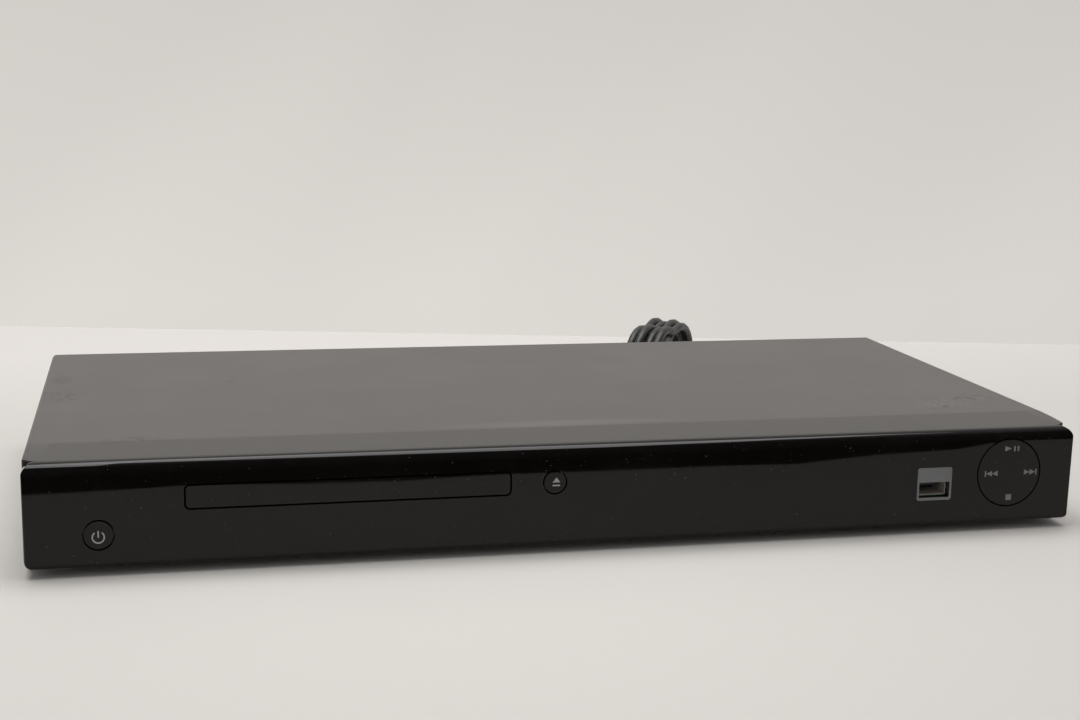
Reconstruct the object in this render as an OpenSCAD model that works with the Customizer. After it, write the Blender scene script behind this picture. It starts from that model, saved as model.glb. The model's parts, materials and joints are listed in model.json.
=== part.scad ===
// Slim full-width disc player with a motor-driven tray, a round rocking keypad and a USB socket.
// The origin is under the middle of the player, on the surface it stands on.
// +X is right as seen from the front, +Y is towards the back, +Z is up, and the front faces -Y.

/* [Case] */
// Width of the front bezel and the cover
body_w = 430; // [420:1:440]
// Depth from the front face to the rear edge of the cover
body_d = 207; // [205:1:230]
// Height of the top of the cover above the table
body_h = 45; // [45:0.5:48]
// Height of the bezel's lower edge above the table
foot_h = 3.5; // [3:0.25:4]
// Thickness of the steel sheet
sheet_t = 0.8; // [0.6:0.1:1]
// Distance from the front face to the crease in the cover
crease_d = 28.2; // [24:0.1:34]
// How far the strip before the crease falls towards the bezel
cover_drop = 1.5; // [1:0.1:1.6]
// Outer radius of the cover's top edges
cover_r = 2.2; // [1.5:0.1:3]
// Diameter of a foot
foot_dia = 17; // [14:1:22]
// Distance of the feet from the ends of the chassis
foot_inset = 28; // [24:1:36]

/* [Front bezel] */
// Depth of the bezel from its face to its rear edge
bezel_d = 10; // [9.5:0.1:10]
// Wall thickness of the bezel
bezel_t = 2.5; // [2.2:0.1:2.7]
// How far the face leans back, in degrees
face_lean = 1.5; // [0.5:0.1:2]
// Radius of the two lower corners of the face
low_corner_r = 4; // [3.5:0.1:5]
// Radius of the two upper corners of the face
high_corner_r = 4.5; // [3.5:0.1:5]
// Radius of the long curve from the face to the bezel's top
brow_r = 5; // [4:0.1:5.5]
// Radius of the edges round the face
edge_r = 1.8; // [1:0.1:2]

/* [Tray] */
// Place of the tray's middle, as a share of the width, from the middle of the player
tray_share = -0.217674; // [-0.223:0.000001:-0.21]
// Width of the opening for the tray's door
door_w = 126; // [125.5:0.1:128]
// Height of the opening for the tray's door
door_h = 10; // [9.9:0.1:10.2]
// Height of the opening's middle above the table
door_z = 29.2; // [29:0.1:29.4]
// Corner radius of the opening
door_r = 2.2; // [1.5:0.1:3]
// Gap round the door
door_gap = 0.7; // [0.4:0.05:0.9]
// Diameter of the recess for a full-size disc
disc_recess_dia = 120.8; // [120.4:0.1:121]
// Diameter of the recess for a small disc
small_recess_dia = 81; // [80.5:0.5:84]
// Distance from the front face to the middle of the disc when the tray is in
disc_d = 76; // [75.5:0.5:77]
// Width of the slot for the turntable and the pickup
slot_w = 50; // [46:1:54]
// How far the tray comes out
tray_travel = 138; // [130:1:138]

/* [Controls] */
// Distance of the power button from the left end
power_from_end = 27.1; // [25:0.1:29]
// Height of the power button above the table
power_z = 16; // [15.5:0.1:17]
// Diameter of the power button's opening
power_dia = 11.9; // [11:0.1:12.5]
// Distance of the eject button from the tray's middle
eject_from_tray = 80.5; // [79.5:0.1:81.5]
// Height of the eject button above the table
eject_z = 29; // [28:0.1:30]
// Diameter of the eject button's opening
eject_dia = 10; // [9:0.1:11]
// Distance of the keypad's middle from the right end
keypad_from_end = 29.6; // [29:0.1:31]
// Height of the keypad's middle above the table
keypad_z = 25; // [24.5:0.1:25.5]
// Diameter of the keypad's opening
keypad_dia = 29.7; // [28:0.1:30.5]
// Gap round the buttons and the keypad
button_gap = 0.6; // [0.4:0.05:0.7]
// How far a button can be pushed
button_travel = 0.5; // [0.3:0.05:0.5]

/* [USB socket] */
// Distance of the socket's plate from the keypad's middle
usb_from_keypad = 34.2; // [33.4:0.1:35.4]
// Width of the plate
usb_plate_w = 15.7; // [15.4:0.1:17]
// Height of the plate
usb_plate_h = 14.1; // [13:0.1:15]
// Height of the plate's middle above the table
usb_plate_z = 21.4; // [21.2:0.1:21.8]
// Width of the opening in the plate
usb_hole_w = 13.9; // [13.6:0.1:14.2]
// Height of the opening in the plate
usb_hole_h = 6.7; // [6.3:0.1:7]
// Height of the opening's middle above the table
usb_hole_z = 18.8; // [18.6:0.1:18.9]
// How far the socket's mouth is set back from the face
usb_set_back = 3.3; // [3.3:0.1:4]

/* [Loader] */
// Module of the pinion and the tray's rack
rack_module = 1; // [1:0.5:1]
// Module of the reduction gears
wheel_module = 0.8; // [0.8:0.1:0.8]
// Teeth of the pinion under the tray
pinion_teeth = 16; // [16:1:16]
// Teeth of the large wheel
wheel_teeth = 36; // [36:1:36]
// Teeth of the small gear on the pulley
small_teeth = 12; // [12:1:12]
// Wall thickness of the loader's frame
frame_t = 2; // [1.6:0.1:2.2]
// Diameter of the pickup's guide rods
rod_dia = 3; // [2.5:0.1:3]
// Diameter of the turntable
turntable_dia = 31; // [29:0.5:32]
// How far the front of the sub-chassis drops when the tray is freed
lift_drop = 5.4; // [4:0.1:5.4]
// How far the cam slider moves sideways
cam_travel = 18; // [16:0.5:18]

/* [Electronics] */
// Thickness of the circuit boards
board_t = 1.6; // [1.2:0.1:1.6]
// Height of the main and power boards above the table
board_z = 11; // [10.5:0.1:11.2]
// How far the rear sockets stand out behind the cover
jack_out = 8; // [7:0.5:9]

/* [Mains lead] */
// Diameter of the mains lead
lead_dia = 4.6; // [4.4:0.1:4.8]
// Distance of the strain relief from the right end
lead_from_end = 25; // [23:0.5:29]
// Height of the strain relief above the table
lead_z = 19; // [18:0.5:20]

/* [Hidden] */
$fn = 48;

// A clearance between still or sliding faces, and one round a turning pin
clear = 0.3;
fit = 0.05;
tiny = 0.01;

front_y = -(body_d + jack_out) / 2;
half_w = body_w / 2;
tray_x = tray_share * body_w;
power_x = power_from_end - half_w;
eject_x = tray_x + eject_from_tray;
keypad_x = half_w - keypad_from_end;
usb_x = keypad_x - usb_from_keypad;
lead_x = half_w - lead_from_end;
base_z = foot_h + 0.5;
floor_z = base_z + sheet_t;
bezel_z0 = foot_h;
bezel_z1 = body_h - cover_drop;
cover_d0 = bezel_d + clear;
chassis_w = body_w - 5.6;
chassis_d0 = bezel_d + 1.5;
panel_d1 = body_d - sheet_t - 0.1;
panel_d0 = panel_d1 - sheet_t;

// Levels in the tray and its loader
tray_z0 = door_z - door_h / 2 + 0.6;
tray_w = door_w - 2;
tray_z1 = tray_z0 + 8.4;
gear_d = 33;
frame_d0 = 14;
frame_d1 = body_d - 21;
tray_d0 = 4;
tray_d1 = frame_d1 - 14;
rack_d1 = min(tray_d1, gear_d + tray_travel + 1);
recess_z = tray_z1 - 2.2;
small_recess_z = recess_z - 1;
deck_z0 = small_recess_z - 1.4;
disc_z = recess_z + 0.6;
hub_z = disc_z + 2.2;
frame_in = tray_w / 2 + 2.3;
frame_out = frame_in + frame_t;
frame_z0 = 9;
frame_floor_z = frame_z0 + 2;
frame_z1 = 35.2;
ledge_z1 = tray_z0 - clear;
well_w = 84;
well_d0 = 58;
well_d1 = tray_d1;

// The gear train: the rack's pitch line, the axes, and the levels of the teeth
rack_x = tray_w / 2 - 18;
pinion_r = rack_module * pinion_teeth / 2;
wheel_r = wheel_module * wheel_teeth / 2;
small_r = wheel_module * small_teeth / 2;
gear_x = rack_x - pinion_r;
pulley_x = gear_x - wheel_r - small_r;
motor_x = rack_x - 60;
motor_d = 30;
wheel_z0 = 14.5;
wheel_z1 = 17.3;
belt_z0 = 19.6;
belt_z1 = 22.2;
pulley_groove_r = 8;
motor_groove_r = 2.4;
belt_t = 1.1;
gear_pin_r = 1.5;

// The swinging sub-chassis
hinge_d = frame_d1 - 22;
hinge_z = 17;
hinge_x = 45;
plate_z0 = 16;
plate_z1 = 18;
cam_pin_z = 19;
cam_pin_r = 1.5;
cam_pins_x = [-24, 16];
cam_d0 = 53;
cam_d1 = 56;
rod_x = 26;
rod_z = 17;
rod_d0 = 80.5;
rod_d1 = hinge_d - 2.5;
screw_x = 34;
screw_z = 17;
screw_d1 = hinge_d - 4.8;
pickup_d0 = 88;
pickup_d1 = 124;
lens_d = disc_d + 24;

// The boards behind the face, and the switches on them
key_board_d = 9.2;
plunger_d = 5.3;
pad_plunger_d = 7.8;
pad_axis_d = 6;
pad_pin_r = 0.8;
pad_lug_x = 18.2;
pad_lug_z = 10;
key_board_z1 = bezel_z1 - bezel_t - 0.8;
usb_board_z1 = usb_hole_z - 2.85 - 0.25;

// The boards on the floor: [left, right, front, back]. Pieces on the main board have places as
// shares of its width, and those on the power board have distances from its right edge
main_edges = [tray_x + frame_out + 15.3, half_w - 103, 105, body_d - 4];
power_edges = [half_w - 95, half_w - 10, 60, body_d - 7];
main_w = main_edges[1] - main_edges[0];
function on_main(share) = main_edges[0] + share * main_w;
function on_power(from_edge) = power_edges[1] - from_edge;
main_studs = [for (d = [110, main_edges[3] - 33], x = [main_edges[0] + 5, main_edges[1] - 5]) [x, d]];
power_studs = [[on_power(80), 65], [on_power(5), 65], [on_power(80), power_edges[3] - 20], [on_power(5), 150]];
board_top = board_z + board_t;
cable_z = board_top + 3.8;
jack_pitch = 14;
jack_xs = [for (i = [-1:1]) on_main(0.355) + i * jack_pitch];
jack_zs = [board_top + 6, board_top + 19];
jack_r = 4.15;
coax_x = on_main(0.613);
hdmi_x = on_main(0.79);

// Routes of the mains lead, as [x, distance behind the front face, z]
lead_low_z = lead_dia / 2 + 0.15;
relief_long = 24;
relief_d1 = panel_d1 + relief_long;
hank_x = lead_x - 80;
hank_behind = body_d + 48;
hank_turn = 38;
hank_run = 22;
hank_in_r = 14;
hank_step = 5.2;
hank_layer = 5.2;
hank_turns = 6;
hank_rings = 24;
hank_draw = 1.6;
hank_out_r = hank_in_r + 1.5 * hank_step;
hank_z = hank_out_r + hank_step / 8 + lead_dia / 2 + 0.25;

// ---------------------------------------------------------------- helpers

module at_front() translate([0, front_y, 0]) children();

module at_loader() at_front() translate([tray_x, 0, 0]) children();

// A box between two corners
module span(a, b) translate(a) cube(b - a);

// A flat rectangle with round corners, centred
module round_rect(w, h, r) {
    square([w - 2 * r, h], center = true);
    square([w, h - 2 * r], center = true);
    for (x = [-1, 1], z = [-1, 1]) translate([x * (w / 2 - r), z * (h / 2 - r)]) circle(r);
}

// Draws a flat shape in X and Z, and makes it solid from depth d0 to depth d1
module front_solid(d0, d1) translate([0, d1, 0]) rotate([90, 0, 0]) linear_extrude(d1 - d0) children();

// Draws a flat shape in depth and Z, and makes it solid from x0 to x1
module side_solid(x0, x1) translate([x0, 0, 0]) rotate([90, 0, 90]) linear_extrude(x1 - x0) children();

// A round bar along Y
module y_bar(r, d0, d1) translate([0, d1, 0]) rotate([90, 0, 0]) cylinder(r = r, h = d1 - d0);

// A round bar along X
module x_bar(r, x0, x1) translate([x0, 0, 0]) rotate([0, 90, 0]) cylinder(r = r, h = x1 - x0);

// A ring standing on z0
module ring(r1, r0, z0, z1) translate([0, 0, z0]) difference() {
    cylinder(r = r1, h = z1 - z0);
    translate([0, 0, -1]) cylinder(r = r0, h = z1 - z0 + 2);
}

// How far back the leaning face is at a height
function face_at(z) = (z - bezel_z0) * tan(face_lean);

// The space between two planes that lie d0 and d1 behind the leaning face
module lean_slab(d0, d1, half = body_w / 2 + 5)
    side_solid(-half, half) polygon([
        [d0 + face_at(0), 0], [d1 + face_at(0), 0],
        [d1 + face_at(60), 60], [d0 + face_at(60), 60]
    ]);

// ---------------------------------------------------------------- case

module face_outline(inset) {
    w = body_w / 2 - inset;
    z0 = bezel_z0 + inset;
    z1 = bezel_z1 - inset;
    rl = max(low_corner_r - inset, 0.4);
    rh = max(high_corner_r - inset, 0.4);
    translate([-w, z0 + rl]) square([2 * w, z1 - z0 - rl - rh]);
    translate([-w + rl, z0]) square([2 * (w - rl), rl + tiny]);
    translate([-w + rh, z1 - rh - tiny]) square([2 * (w - rh), rh + tiny]);
    for (s = [-1, 1]) {
        translate([s * (w - rl), z0 + rl]) circle(rl);
        translate([s * (w - rh), z1 - rh]) circle(rh);
    }
}

// Behind its brow the bezel steps down, so that the cover's tongues lie level with it
rebate_z = bezel_z1 - sheet_t - clear;
rebate_d = brow_r + 1.6;

// The bezel's section from front to back, with its leaning face and round edges
module bezel_section() {
    c = cos(face_lean);
    s = sin(face_lean);
    low = edge_r / c + face_at(bezel_z0 + edge_r);
    high = brow_r / c + face_at(bezel_z1 - brow_r);
    polygon([
        [low, bezel_z0], [bezel_d, bezel_z0], [bezel_d, rebate_z], [rebate_d, rebate_z],
        [rebate_d, bezel_z1], [high, bezel_z1],
        [high - brow_r * c, bezel_z1 - brow_r + brow_r * s],
        [low - edge_r * c, bezel_z0 + edge_r + edge_r * s]
    ]);
    translate([low, bezel_z0 + edge_r]) circle(edge_r);
    translate([high, bezel_z1 - brow_r]) circle(brow_r, $fn = 96);
}

module bezel_plan() {
    w = body_w / 2;
    translate([-w, edge_r]) square([2 * w, bezel_d - edge_r]);
    translate([-w + edge_r, 0]) square([2 * (w - edge_r), edge_r + tiny]);
    for (s = [-1, 1]) translate([s * (w - edge_r), edge_r]) circle(edge_r);
}

module bezel_shell() difference() {
    intersection() {
        front_solid(0, bezel_d) face_outline(0);
        side_solid(-body_w / 2, body_w / 2) bezel_section();
        linear_extrude(60) bezel_plan();
    }
    intersection() {
        front_solid(0, bezel_d + 1) face_outline(bezel_t);
        lean_slab(bezel_t, bezel_d + 5);
    }
}

// Bosses that carry the boards behind the face, as [x, z]
key_bosses = [
    [power_x - 12, power_z - 6], [power_x + 12, power_z - 6], [power_x + 12, power_z + 10],
    [eject_x - 8, eject_z + 8.5], [eject_x + 11, eject_z - 8.5],
    [keypad_x - 17, keypad_z + 12.5], [keypad_x + 19.5, keypad_z + 12.5],
    [keypad_x - 17, keypad_z - 13], [keypad_x + 19.5, keypad_z - 13]
];
clip_xs = [tray_x - 41.4, tray_x + 43.6, 40, half_w - 105];
tab_xs = [45 - half_w, -57, 57, half_w - 45];

module bezel_clip() {
    span([-6, bezel_t, 15.3], [6, chassis_d0 + 2.1, 16.8]);
    span([-6, chassis_d0 + sheet_t + clear, 13.4], [6, chassis_d0 + 2.1, 15.4]);
}

module keypad_lug(side)
    translate([keypad_x + side * pad_lug_x, 0, keypad_z]) difference() {
        span([-1, bezel_t, -2], [1, pad_axis_d + 2, 2]);
        translate([0, pad_axis_d, 0]) x_bar(pad_pin_r + fit, -2, 2);
    }

module button_collar(x, z, r) translate([x, 0, z]) difference() {
    y_bar(r + 1.2, bezel_t, 5.4);
    y_bar(r, 0, 6);
}

module front_bezel() color("#161514") at_front() difference() {
    union() {
        bezel_shell();
        for (b = key_bosses) translate([b[0], 0, b[1]]) y_bar(2.2, bezel_t, key_board_d);
        for (x = clip_xs) translate([x, 0, 0]) bezel_clip();
        for (x = tab_xs) span([x - 7, bezel_d - 2, bezel_z1 - bezel_t], [x + 7, 16, rebate_z]);
        for (s = [-1, 1]) keypad_lug(s);
        button_collar(power_x, power_z, power_dia / 2 + 1.6);
        button_collar(eject_x, eject_z, eject_dia / 2 + 1.6);
        translate([tray_x, 0, door_z])
            front_solid(bezel_t, bezel_d - 1) round_rect(door_w + 2.4, door_h + 2.4, door_r + 1.2);
    }
    translate([tray_x, 0, door_z]) front_solid(-1, bezel_d) round_rect(door_w, door_h, door_r);
    translate([power_x, 0, power_z]) y_bar(power_dia / 2, -1, 3.4);
    translate([eject_x, 0, eject_z]) y_bar(eject_dia / 2, -1, 3.6);
    translate([keypad_x, 0, keypad_z]) y_bar(keypad_dia / 2, -1, 4);
    translate([usb_x, 0, usb_hole_z]) front_solid(-1, 5) round_rect(usb_hole_w, usb_hole_h, 0.5);
    intersection() {
        translate([usb_x, 0, usb_plate_z]) front_solid(-1, 5) round_rect(usb_plate_w, usb_plate_h, 1);
        lean_slab(-1, 0.6);
    }
    for (b = key_bosses) translate([b[0], 0, b[1]]) y_bar(0.85, bezel_t + 2, key_board_d + 1);
}

// Side screws of the cover, as distances behind the face, and screws of its rear lip
side_screw_ds = [48, body_d - 39];
side_screw_z = 24;
lip_screw_xs = [65 - half_w, 0, half_w - 65];
lip_screw_z = body_h - 4.4;
dimple_r = 3.9;
dimple_deep = 2;

module cover_outline(inset) {
    w = body_w / 2 - inset;
    r = cover_r - inset;
    z0 = base_z + 0.3 - (inset > 0 ? 5 : 0);
    translate([-w, z0]) square([2 * w, body_h - inset - r - z0]);
    translate([-w + r, z0]) square([2 * (w - r), body_h - inset - z0]);
    for (s = [-1, 1]) translate([s * (w - r), body_h - inset - r]) circle(r);
}

module cover_section(inset) polygon([
    [cover_d0 - (inset > 0 ? 5 : 0), -1],
    [body_d + (inset > 0 ? 5 : 0), -1],
    [body_d + (inset > 0 ? 5 : 0), body_h - inset],
    [crease_d, body_h - inset],
    [cover_d0, bezel_z1 - inset],
    [cover_d0 - (inset > 0 ? 5 : 0), bezel_z1 - inset]
]);

// A dimple pressed into the side of the cover, so that the screw's head lies flush
module dimple(side)
    translate([side * (body_w / 2), 0, 0]) rotate([0, -side * 90, 0]) rotate_extrude()
        polygon([
            [1.7, dimple_deep], [dimple_r - 0.6, dimple_deep], [dimple_r, 0],
            [dimple_r + 0.9, 0], [dimple_r + 0.3, dimple_deep + sheet_t], [1.7, dimple_deep + sheet_t]
        ]);

module top_cover() color("#3a3937") at_front() difference() {
    union() {
        difference() {
            intersection() {
                front_solid(cover_d0, body_d) cover_outline(0);
                side_solid(-body_w / 2, body_w / 2) cover_section(0);
            }
            intersection() {
                front_solid(cover_d0 - 5, body_d + 5) cover_outline(sheet_t);
                side_solid(-body_w / 2, body_w / 2) cover_section(sheet_t);
            }
            for (s = [-1, 1], d = side_screw_ds) translate([s * body_w / 2, d, side_screw_z])
                x_bar(dimple_r + 0.45, -2, 2);
        }
        span([-body_w / 2 + 4, body_d - sheet_t, 36.6], [body_w / 2 - 4, body_d, body_h - sheet_t + tiny]);
        for (s = [-1, 1], d = side_screw_ds) translate([0, d, side_screw_z]) dimple(s);
    }
    for (x = lip_screw_xs) translate([x, 0, lip_screw_z]) y_bar(1.7, body_d - 2, body_d + 1);
}

// A stud pressed up from the floor, with a hole for a screw
module stud(x, d, top) translate([x, d, 0]) ring(3, 1.25, base_z + 0.3, top);

loader_ears = [for (d = [24, frame_d1 - 10], s = [-1, 1]) [s * (frame_out + 5.7), d]];
ear_stud_z = 7.2;
usb_stud = [usb_x, 26];
foot_places = [
    [-chassis_w / 2 + foot_inset, chassis_d0 + 17], [chassis_w / 2 - foot_inset, chassis_d0 + 17],
    [-chassis_w / 2 + foot_inset, panel_d1 - 20], [chassis_w / 2 - foot_inset, panel_d1 - 20]
];
vent_xs = [for (i = [0:9]) half_w - 83 + i * 7.2];

module chassis_holes() {
    for (p = foot_places) translate([p[0], p[1], 0]) cylinder(r = 2.1, h = 8);
    for (e = loader_ears) translate([tray_x + e[0], e[1], 0]) cylinder(r = 1.55, h = 12);
    for (x = vent_xs) translate([x, 112, 0]) linear_extrude(8) rotate(90) round_rect(44, 2.4, 1.15);
    for (p = rear_foot_xs) translate([p, panel_d0 - 4, 0]) cylinder(r = 1.25, h = 8);
    for (p = concat(main_studs, power_studs)) translate([p[0], p[1], 0]) cylinder(r = 1.25, h = 20);
    translate([usb_stud[0], usb_stud[1], 0]) cylinder(r = 1.25, h = 20);
}

module chassis() color("#b9bcbd") at_front() difference() {
    union() {
        span([-chassis_w / 2, chassis_d0, base_z], [chassis_w / 2, panel_d1, floor_z]);
        span([-chassis_w / 2, chassis_d0, base_z], [chassis_w / 2, chassis_d0 + sheet_t, 15]);
        for (s = [-1, 1])
            span([s > 0 ? chassis_w / 2 - sheet_t : -chassis_w / 2, chassis_d0, base_z],
                 [s > 0 ? chassis_w / 2 : -chassis_w / 2 + sheet_t, panel_d0 - 0.3, 39]);
        for (p = main_studs) stud(p[0], p[1], board_z);
        for (p = power_studs) stud(p[0], p[1], board_z);
        for (e = loader_ears) translate([tray_x + e[0], e[1], 0]) ring(4, 1.5, base_z + 0.3, ear_stud_z);
        stud(usb_stud[0], usb_stud[1], usb_board_z1 - board_t);
        for (x = [-60, 30]) translate([x, body_d - 15, base_z + 0.2]) linear_extrude(1.6) round_rect(60, 5, 2.4);
        for (x = [17 - half_w, 15]) translate([x, 100, base_z + 0.2]) linear_extrude(1.6) round_rect(6, 120, 2.9);
    }
    translate([0, 0, -tiny]) chassis_holes();
    // Low stretches of the front flange, behind the key boards
    for (x = [-half_w - 15, keypad_x - 22]) span([x, chassis_d0 - 1, 7.4], [x + 64, chassis_d0 + 2, 16]);
    span([usb_x - 14, chassis_d0 - 1, usb_board_z1 - board_t - 1.2], [usb_x + 14, chassis_d0 + 2, 16]);
    for (s = [-1, 1], d = side_screw_ds) translate([s * chassis_w / 2, d, side_screw_z]) x_bar(1.55, -2, 2);
}

rear_foot_xs = [35 - half_w, tray_x, 0, half_w - 97, half_w - 43];
rear_vent_xs = [for (i = [0:15]) 25 - half_w + i * 8];

module rear_panel() color("#aeb1b3") at_front() difference() {
    union() {
        span([-chassis_w / 2 + 1, panel_d0, floor_z], [chassis_w / 2 - 1, panel_d1, body_h - sheet_t - 0.3]);
        for (x = rear_foot_xs) span([x - 7, panel_d0 - 8, floor_z], [x + 7, panel_d1, floor_z + sheet_t]);
    }
    for (x = rear_foot_xs) translate([x, panel_d0 - 4, 0]) cylinder(r = 1.55, h = 10);
    for (x = lip_screw_xs) translate([x, 0, lip_screw_z]) y_bar(1.3, panel_d0 - 1, panel_d1 + 1);
    for (x = jack_xs, z = jack_zs) translate([x, 0, z]) y_bar(jack_r + 0.4, panel_d0 - 1, panel_d1 + 1);
    translate([coax_x, 0, jack_zs[0]]) y_bar(jack_r + 0.4, panel_d0 - 1, panel_d1 + 1);
    translate([hdmi_x, 0, board_top + 3]) front_solid(panel_d0 - 1, panel_d1 + 1) round_rect(16, 6.6, 0.8);
    translate([lead_x, 0, lead_z]) y_bar(relief_neck_r + fit, panel_d0 - 1, panel_d1 + 1);
    for (x = rear_vent_xs) translate([x, 0, 24])
        front_solid(panel_d0 - 1, panel_d1 + 1) round_rect(2.6, 22, 1.25);
}

// A foot: a ribbed pad with a plug that snaps through the chassis
module foot(i) color("#1c1c1c") at_front() translate([foot_places[i][0], foot_places[i][1], 0])
    rotate_extrude() polygon([
        [0, 0], [foot_dia / 2 - 1, 0], [foot_dia / 2, 0.8], [foot_dia / 2 - 0.6, base_z], [2.05, base_z],
        [2.05, floor_z], [2.5, floor_z + 0.1], [2, floor_z + 1.6], [0, floor_z + 1.6]
    ]);

// A screw with its head's underside at z = 0, its shank going down
module screw(head_r, head_h, shank_r, long) {
    difference() {
        cylinder(r = head_r, h = head_h);
        for (a = [0, 90]) rotate(a)
            translate([-head_r * 0.55, -0.35, head_h - 0.7]) cube([head_r * 1.1, 0.7, 1]);
    }
    translate([0, 0, -long]) cylinder(r = shank_r, h = long + tiny);
}

module case_screws() color("#2a2a2b") at_front() {
    for (s = [-1, 1], d = side_screw_ds)
        translate([s * (body_w / 2 - dimple_deep + tiny), d, side_screw_z]) rotate([0, s * 90, 0])
            screw(3, 1.4, 1.5, 5);
    for (x = lip_screw_xs) translate([x, body_d + tiny, lip_screw_z]) rotate([-90, 0, 0])
        screw(3, 1.6, 1.25, 5);
    for (x = rear_foot_xs) translate([x, panel_d0 - 4, floor_z + sheet_t + tiny]) screw(2.4, 1.5, 1.2, 2.6);
}

// ---------------------------------------------------------------- front controls

module tray_door() color("#191817") at_loader() {
    intersection() {
        translate([0, 0, door_z])
            front_solid(-1, 6) round_rect(door_w - 2 * door_gap, door_h - 2 * door_gap, door_r - door_gap);
        lean_slab(0, 3, door_w);
    }
    for (x = [-40, 40]) translate([x, 0, door_z]) y_bar(1.5, 3, tray_d0 + 2.6);
}

// A round button: a cap, a wider rim that stays behind the face, and a short stem
module round_button(x, z, r) color("#1b1a19") at_front() translate([x, 0, z]) {
    intersection() {
        y_bar(r - button_gap, -1, 4);
        translate([0, 0, -z]) lean_slab(0, 10, 20);
    }
    y_bar(r + 1.3, 3.9, 4.6);
    y_bar(1.8, 4, plunger_d - button_travel - 0.1);
}

module power_button() round_button(power_x, power_z, power_dia / 2);
module eject_button() round_button(eject_x, eject_z, eject_dia / 2);

module keypad_disc() color("#1b1a19") at_front() translate([keypad_x, 0, keypad_z]) {
    intersection() {
        y_bar(keypad_dia / 2 - button_gap, -1, 6);
        translate([0, 0, -keypad_z]) lean_slab(0, 2.4, 20);
    }
    for (s = [-1, 1]) {
        difference() {
            span([-1.8, 2.4, s * pad_lug_z - 1], [1.8, pad_axis_d + 1.2, s * pad_lug_z + 1]);
            translate([0, pad_axis_d, s * pad_lug_z - 2]) cylinder(r = pad_pin_r + fit, h = 4);
        }
        translate([s * 11, 0, 3.2]) y_bar(1.2, 2.4, pad_axis_d + 1.2);
    }
}

module keypad_cross() color("#d8d5cc") at_front() translate([keypad_x, pad_axis_d, keypad_z]) {
    x_bar(pad_pin_r, -pad_lug_x - 0.8, pad_lug_x + 0.8);
    translate([0, 0, -pad_lug_z - 0.8]) cylinder(r = pad_pin_r, h = 2 * pad_lug_z + 1.6);
    y_bar(2, -1.2, 1.2);
}

module usb_plate() color("#737577") at_front() intersection() {
    difference() {
        translate([usb_x, 0, usb_plate_z])
            front_solid(-1, 5) round_rect(usb_plate_w - 0.06, usb_plate_h - 0.06, 1);
        translate([usb_x, 0, usb_hole_z]) front_solid(-2, 6) round_rect(usb_hole_w, usb_hole_h, 0.5);
    }
    lean_slab(0, 0.6);
}

usb_shell_w = 13.1;
usb_shell_h = 5.7;
usb_wall = 0.3;
usb_d1 = usb_set_back + 14;

module usb_shell() color("#c9ccce") at_front() translate([usb_x, 0, usb_hole_z]) difference() {
    front_solid(usb_set_back, usb_d1) round_rect(usb_shell_w, usb_shell_h, 0.6);
    front_solid(usb_set_back - 1, usb_d1 + 1)
        round_rect(usb_shell_w - 2 * usb_wall, usb_shell_h - 2 * usb_wall, 0.3);
}

module usb_insert() color("#e6e6e2") at_front() translate([usb_x, 0, usb_hole_z]) {
    w = usb_shell_w / 2 - usb_wall - fit;
    h = usb_shell_h / 2 - usb_wall - fit;
    front_solid(usb_d1 - 3, usb_d1) round_rect(2 * w, 2 * h, 0.3);
    span([-5.5, usb_set_back + 4.2, 0.3], [5.5, usb_d1 - 3 + tiny, 2.1]);
    for (x = [-3.5, -1, 1, 3.5]) span([x - 0.5, usb_set_back + 4.6, 0.1], [x + 0.5, usb_d1 - 3, 0.31]);
}

module usb_board() color("#2f6b3f") at_front() difference() {
    span([usb_x - 12, 5, usb_board_z1 - board_t], [usb_x + 12, 36, usb_board_z1]);
    translate([usb_stud[0], usb_stud[1], 0]) cylinder(r = 1.5, h = 30);
}

// A board behind the face, with holes over the bosses named by their numbers
module key_board(x0, x1, z0, z1, holes) color("#2f6b3f") at_front() difference() {
    span([x0, key_board_d, z0], [x1, key_board_d + board_t, z1]);
    for (i = holes) translate([key_bosses[i][0], 0, key_bosses[i][1]]) y_bar(1.1, key_board_d - 1, 14);
}

module power_key_board() key_board(power_x - 15, power_x + 15, power_z - 9, power_z + 13, [0, 1, 2]);
module eject_key_board() key_board(eject_x - 11, eject_x + 14, eject_z - 11.5, key_board_z1, [3, 4]);
module keypad_board() key_board(keypad_x - 20, keypad_x + 22, keypad_z - 16, key_board_z1, [5, 6, 7, 8]);

// A push switch on the front of a key board, with its plunger's tip at depth tip
module key_switch(x, z, tip, body) translate([x, 0, z]) {
    span([-3, key_board_d - body, -3], [3, key_board_d, 3]);
    y_bar(1.7, tip, key_board_d - body + tiny);
}

// The switches, and the can that receives the remote control's signal
module key_switches() color("#3c3d40") at_front() {
    key_switch(power_x, power_z, plunger_d, 3.5);
    key_switch(eject_x, eject_z, plunger_d, 3.5);
    for (s = [-1, 1]) {
        key_switch(keypad_x, keypad_z + s * pad_lug_z, pad_plunger_d, 1.2);
        key_switch(keypad_x + s * 11, keypad_z + 3.2, pad_plunger_d, 1.2);
    }
    translate([eject_x + 10, 0, eject_z + 6]) {
        span([-2.5, key_board_d - 3, -3], [2.5, key_board_d, 3]);
        y_bar(1.6, key_board_d - 4.2, key_board_d - 2.9);
    }
}

// ---------------------------------------------------------------- gears

function inv_deg(a) = tan(a) * 180 / PI - a;

// Half the angle that a tooth takes at radius r
function half_tooth(m, n, play, r) =
    let(rp = m * n / 2, rb = rp * cos(20), a = r <= rb ? 0 : acos(rb / r))
    90 / n - play / rp / 2 * 180 / PI + inv_deg(20) - inv_deg(a);

tooth_top = 0.8;
tooth_bottom = 1.1;
tooth_play = 0.24;

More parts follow.
